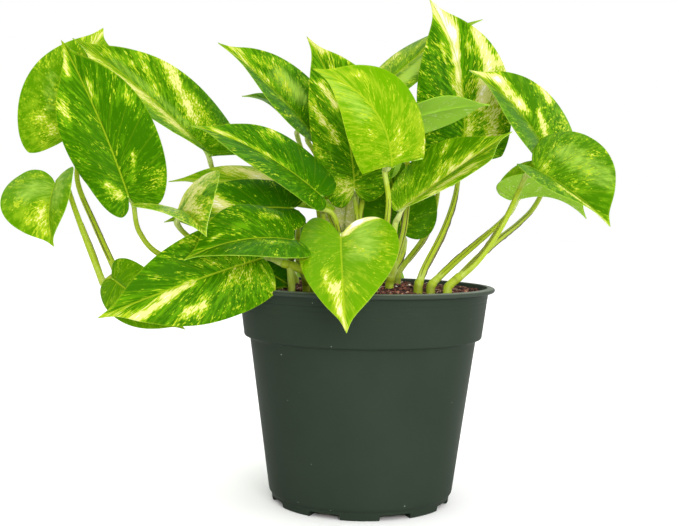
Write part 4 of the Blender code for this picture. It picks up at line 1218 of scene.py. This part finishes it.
# %% Shape each blade
QUILT = 0.28  # mm that the tissue swells between lateral veins
LATERAL_VEINS = 11
GROOVE = 0.45  # mm that the midrib is sunk above
GROOVE_WIDTH = 0.9
KEEL_WIDTH = 1.3
MARGIN_WAVE = 0.9
MARGIN_TURN = 13.0  # radians that the wave goes through from base to tip
STREAK_SQUEEZE = 1.3  # streaks are this much narrower than the material says
LEAF_APART = 7.0  # how far apart in the noise the blades are, so that no two have the same flecks
SIDES_APART = 3.0  # how far apart a blade's two sides are


def painted(strokes, ground, along, across, length, half):
    """How strongly the strokes colour each place, over what the whole blade has."""
    total = np.full(len(along), float(ground))
    here = np.stack([along * length, across * half], 1)
    for start, end, reach, amount in strokes:
        a, b = (np.array([p[0] * length, p[1] * half]) for p in (start, end))
        share = np.clip(((here - a) @ (b - a)) / max((b - a) @ (b - a), 1e-6), 0, 1)
        away = np.linalg.norm(here - a - share[:, None] * (b - a), axis=1)
        total += amount * bell(away, reach)
    return total


def make_blade(number, leaf):
    """A thin closed blade: its two sides, joined by a narrow rounded margin."""
    rng = np.random.default_rng(SEED + number)
    blade = BladeFrame(leaf)
    grids = blade_grid(leaf)
    faces, edge = grid_faces(*grids[0].shape)
    along, across, vein, share = (joined_ends(grid) for grid in grids)
    length, half = np.linalg.norm(blade.chord), leaf.width / 2
    middle = blade.point(along, across)
    normals = grid_normals(middle, faces)
    side = np.sign(across)
    phase = np.where(side >= 0, *rng.uniform(0, FULL_TURN, 2))
    fade = np.clip(1 - along, 0, 1) ** 0.5
    wave = MARGIN_WAVE * share**3 * np.sin(vein * MARGIN_TURN + phase)
    wave = wave * np.minimum(1, 4 * (1 - vein))
    quilt = QUILT * (0.5 - 0.5 * np.cos(FULL_TURN * LATERAL_VEINS * vein)) * 4 * share * (1 - share) * fade
    rib = np.abs(across) * half
    sunk = GROOVE * fade * bell(rib, GROOVE_WIDTH)
    keel = KEEL_DEPTH * np.clip(1 - along, 0, 1) * bell(rib, KEEL_WIDTH)
    thick = BLADE_THICKNESS / 2 * (1 - 0.5 * share**8)
    above = middle + normals * (wave + quilt + thick - sunk)[:, None]
    below = middle + normals * (wave + quilt - thick - keel)[:, None]
    count = len(middle)
    all_faces = faces + [[c + count for c in reversed(f)] for f in faces]
    for a, b in zip(edge, edge[1:] + edge[:1]):
        all_faces.append((a, a + count, b + count, b))
    look = LOOKS.get(leaf.name, PLAIN_LOOK)
    shape = (along, across, length, half)
    rim = (1 - share) * np.maximum(np.interp(vein, VEIN_AT, OUTLINE[:, 1]) * half, 1.0)
    streak = [vein * length, across * half * STREAK_SQUEEZE, np.full(count, number * LEAF_APART)]
    streak = np.stack(streak, 1)
    values = {
        "streak": np.vstack([streak, streak + (0, 0, SIDES_APART)]),
        "cream": np.tile(painted(look.strokes, look.flecks, *shape), 2),
        "olive": np.tile(painted(look.olive, 0, *shape), 2),
        "tone": np.full(2 * count, look.tone),
        "under": np.repeat([0.0, 1.0], count),
        "rib": np.tile(rib, 2),
        "rim": np.tile(rim, 2),
    }
    both, node = np.vstack([above, below]), f"leaf_{leaf.name}"
    return add_piece(f"blade_{leaf.name}", both, all_faces, values, leaf_flesh, node, "leaves", 75)


blades = [make_blade(number, leaf) for number, leaf in enumerate(LEAVES)]
print(f"{len(blades)} blades of {len(blades[0].data.polygons)} faces")

# %% [markdown]
# ## Vines and leaf stalks
#
# Each cutting is a short piece of vine with its leaf stalks, which botanists call petioles. A stalk is
# grooved along its upper side, a little swollen at both ends, and edged low down by the dry brown remains of
# the sheath that wrapped the next bud. Tubes along smooth curves give all of it; only the sheath needs thin
# ribbons of its own.

# %% Stalk material
STALK_GREEN = "#8c9e1c"
STALK_PALE = "#c2cc86"
SHEATH_BROWN = "#40280c"
SHEATH_DARK = "#140a04"
MOTTLE = 3.8  # mm across
MOTTLE_RELIEF = 0.3  # mm
PALE_LIMITS = (0.45, 1.2)  # where a stalk starts to pale, and where it is palest
STALK_ROUGHNESS = (0.38, 0.75)  # where it is fresh, and where it is dry


def stalk_material():
    made, tree, shader = new_material(
        "fleshy_green_petiole", IOR=1.42, Subsurface_Weight=0.15, Subsurface_Scale=3 * MM,
        Subsurface_Radius=(0.7, 1.0, 0.3), Specular_IOR_Level=0.2,
    )
    dry, pale = (
        add_node(tree, "ShaderNodeAttribute", {}, attribute_name=name).outputs["Fac"]
        for name in ("dry", "pale")
    )
    place = add_node(tree, "ShaderNodeTexCoord", {})
    mottle = add_node(tree, "ShaderNodeTexNoise", {
        "Vector": place.outputs["Object"], "Scale": 1 / (MOTTLE * MM), "Detail": 3.0,
    })
    lift = add_node(tree, "ShaderNodeMath", {0: mottle.outputs[0], 1: 0.5, 2: pale}, operation="MULTIPLY_ADD")
    share = add_node(tree, "ShaderNodeMapRange", {
        "Value": lift.outputs[0], "From Min": PALE_LIMITS[0], "From Max": PALE_LIMITS[1],
    })
    green, paper = (
        add_node(tree, "ShaderNodeMix", {"Factor": node.outputs[0], "A": a, "B": b}, data_type="RGBA")
        for node, a, b in ((share, STALK_GREEN, STALK_PALE), (mottle, SHEATH_DARK, SHEATH_BROWN))
    )
    colour = add_node(tree, "ShaderNodeMix", {
        "Factor": dry, "A": green.outputs["Result"], "B": paper.outputs["Result"],
    }, data_type="RGBA").outputs["Result"]
    gloss = add_node(tree, "ShaderNodeMapRange", {
        "Value": dry, "To Min": STALK_ROUGHNESS[0], "To Max": STALK_ROUGHNESS[1],
    })
    relief = add_node(tree, "ShaderNodeBump", {
        "Height": mottle.outputs[0], "Strength": 0.15, "Distance": MOTTLE_RELIEF * MM,
    })
    fill(tree, shader, {"Base Color": colour, "Roughness": gloss.outputs[0], "Normal": relief.outputs[0]})
    return made


stalk_flesh = stalk_material()

# %% Shape the cuttings
ROOT_DEPTH = 26.0
VINE_RADIUS = 2.7
PETIOLE_RADIUS = 2.2
PETIOLE_TOP_RADIUS = 1.4
KNEE = 7.0  # mm over which a petiole turns into its blade
NODE_SWELL = 0.25  # mm that a vine is thicker where a stalk starts
SCAR_DRYNESS = 0.35  # of the brown ring beside that place
FOOT_SWELL, KNEE_SWELL = 0.2, 0.35  # mm that a stalk is thicker at its start, and before its blade
PALENESS, FOOT_PALENESS, KNEE_PALENESS = 0.15, 0.2, 0.7
STALK_SIDES = 14
STALK_GROOVE = 0.16  # its depth, as a share of the radius
GROOVE_WAY = np.array([0.35, -1.6, 0.0])  # a stalk is grooved on the side that faces the light
SHORTEST_SHEATHED = 30.0
SHEATH_LENGTH = (0.42, 0.68)  # shares of the stalk
SHEATH_WIDTH = (0.7, 1.3)
SHEATH_THICKNESS = 0.16  # on each side of its middle
SHEATH_DRYNESS = (0.5, 1.0, 1.0, 0.5)  # the ribbon's rim is dead, and its root is half alive


def length_along(path):
    return np.concatenate([[0], np.cumsum(np.linalg.norm(np.diff(path, axis=0), axis=1))])


def petiole_path(blade, start, way):
    """From the vine to the blade's base, and on into the midrib under it."""
    arrive = unit(blade.ahead_at_base * 0.8 + blade.up_at_base * 0.6)
    drop = BLADE_THICKNESS / 2 + KEEL_DEPTH + FIT_GAP + PETIOLE_TOP_RADIUS * 0.8
    end = blade.base - blade.up_at_base * drop
    knee = [end - arrive * KNEE, end - arrive * KNEE * 0.4, end]
    rib = blade.midrib(np.array([0.03, 0.08]))[0] - blade.up_at_base * np.array([[1.4], [0.6]])
    return smooth_path([start, *way, *knee, *rib], 7)


def grooved_tube(path, radii, upward, groove):
    """A tube with a shallow groove along the side that faces upward at its far end."""
    forward = unit(np.gradient(path, axis=0))
    turns = np.arange(STALK_SIDES) * FULL_TURN / STALK_SIDES
    dip = 1 - groove * np.maximum(0, np.cos(turns)) ** 6
    ring = np.stack([np.cos(turns) * dip, np.sin(turns)], 1)
    rings, sides = sweep_ring(ring, path[::-1], forward[::-1], radii[::-1], np.asarray(upward, float))
    return np.vstack(rings[::-1]), tube_faces(len(path), STALK_SIDES), np.array(sides[::-1]), forward


def sheath_wing(path, radii, sides, forward, hand, reach, rng):
    """A thin ragged ribbon along one edge of the groove."""
    count = len(path)
    share = np.linspace(0, 1, count)
    width = reach * np.sin(math.pi * np.minimum(1, share * 1.02 + 0.02)) ** 0.6
    width = width * rng.uniform(0.55, 1.1, count)
    other = np.cross(forward, sides) * hand
    root = path + radii[:, None] * (0.78 * sides + 0.55 * other)
    out = unit(0.75 * sides + 0.65 * other)
    thick = other * SHEATH_THICKNESS
    rim = root + out * np.maximum(width, 0.15)[:, None]
    points = np.stack([root - thick, rim - thick * 0.5, rim + thick * 0.5, root + thick], 1).reshape(-1, 3)
    faces = tube_faces(count, 4)
    if hand < 0:
        faces = [tuple(reversed(f)) for f in faces]
    return points, faces


def make_cutting(number, stem):
    """A vine with its leaf stalks, their sheaths and its second roots."""
    rng = np.random.default_rng(SEED * 10 + number)
    parts = Parts("dry", "pale")
    x, y, _ = stem.vine[0]
    path = np.vstack([[(x, y, SOIL_EDGE_HEIGHT - ROOT_DEPTH)], smooth_path(stem.vine, 8)])
    radii = np.linspace(VINE_RADIUS, VINE_RADIUS * 0.9, len(path))
    scars = np.zeros(len(path))
    for start in {start for _, start, _ in stem.petioles}:
        away = np.linalg.norm(path - np.array(start), axis=1)
        radii = radii + NODE_SWELL * bell(away, 3)
        scars = np.maximum(scars, SCAR_DRYNESS * bell(away, 0.8, 3.2))
    radii[-1] *= 0.6
    points, faces, _, _ = grooved_tube(path, radii, (0.2, 0.1, 1.0), 0.0)
    parts.add(points, faces, np.repeat(scars, STALK_SIDES), 0.2)
    for leaf_name, start, way in stem.petioles:
        blade = BladeFrame(BY_NAME[leaf_name])
        path = petiole_path(blade, start, way)
        run = length_along(path)
        rest = run[-1] - run
        radii = np.interp(run, [0, run[-15], run[-1]], [PETIOLE_RADIUS, PETIOLE_TOP_RADIUS, 0.5])
        radii = radii + FOOT_SWELL * bell(run, 7) + KNEE_SWELL * bell(rest, 5, 12)
        upward = blade.up_at_base + GROOVE_WAY
        points, faces, sides, forward = grooved_tube(path, radii, upward, STALK_GROOVE)
        paleness = PALENESS + KNEE_PALENESS * bell(rest, 16) + FOOT_PALENESS * bell(run, 10)
        parts.add(points, faces, 0.0, np.repeat(paleness, STALK_SIDES))
        if run[-1] < SHORTEST_SHEATHED:
            continue
        last = np.searchsorted(run, run[-1] * rng.uniform(*SHEATH_LENGTH))
        low = [part[2:last] for part in (path, radii, sides, forward)]
        for hand in (-1, 1):
            points, faces = sheath_wing(*low, hand, rng.uniform(*SHEATH_WIDTH), rng)
            parts.add(points, faces, np.tile(SHEATH_DRYNESS, len(points) // 4), 0.6)
    for start, (x, y) in stem.legs:
        rooted = [(x, y, POT_HEIGHT + 2), (x, y, SOIL_EDGE_HEIGHT - ROOT_DEPTH)]
        path = np.vstack([smooth_path([start, rooted[0]], 4), rooted[1:]])
        points, faces, _, _ = grooved_tube(path, np.full(len(path), PETIOLE_RADIUS), (0, -1, 0.1), 0.0)
        parts.add(points, faces, 0.1, 0.3)
    return parts.piece(f"stalks_{stem.name}", stalk_flesh, f"cutting_{stem.name}", "stems", 60)


cuttings = [make_cutting(number, stem) for number, stem in enumerate(STEMS)]
print(f"{len(cuttings)} cuttings, {sum(len(c.data.polygons) for c in cuttings)} faces")

# %% [markdown]
# ## Size
#
# The dressed plant has to stay as big as the imported model. Its box is found here.

# %% Find the dressed plant's box
low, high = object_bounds()
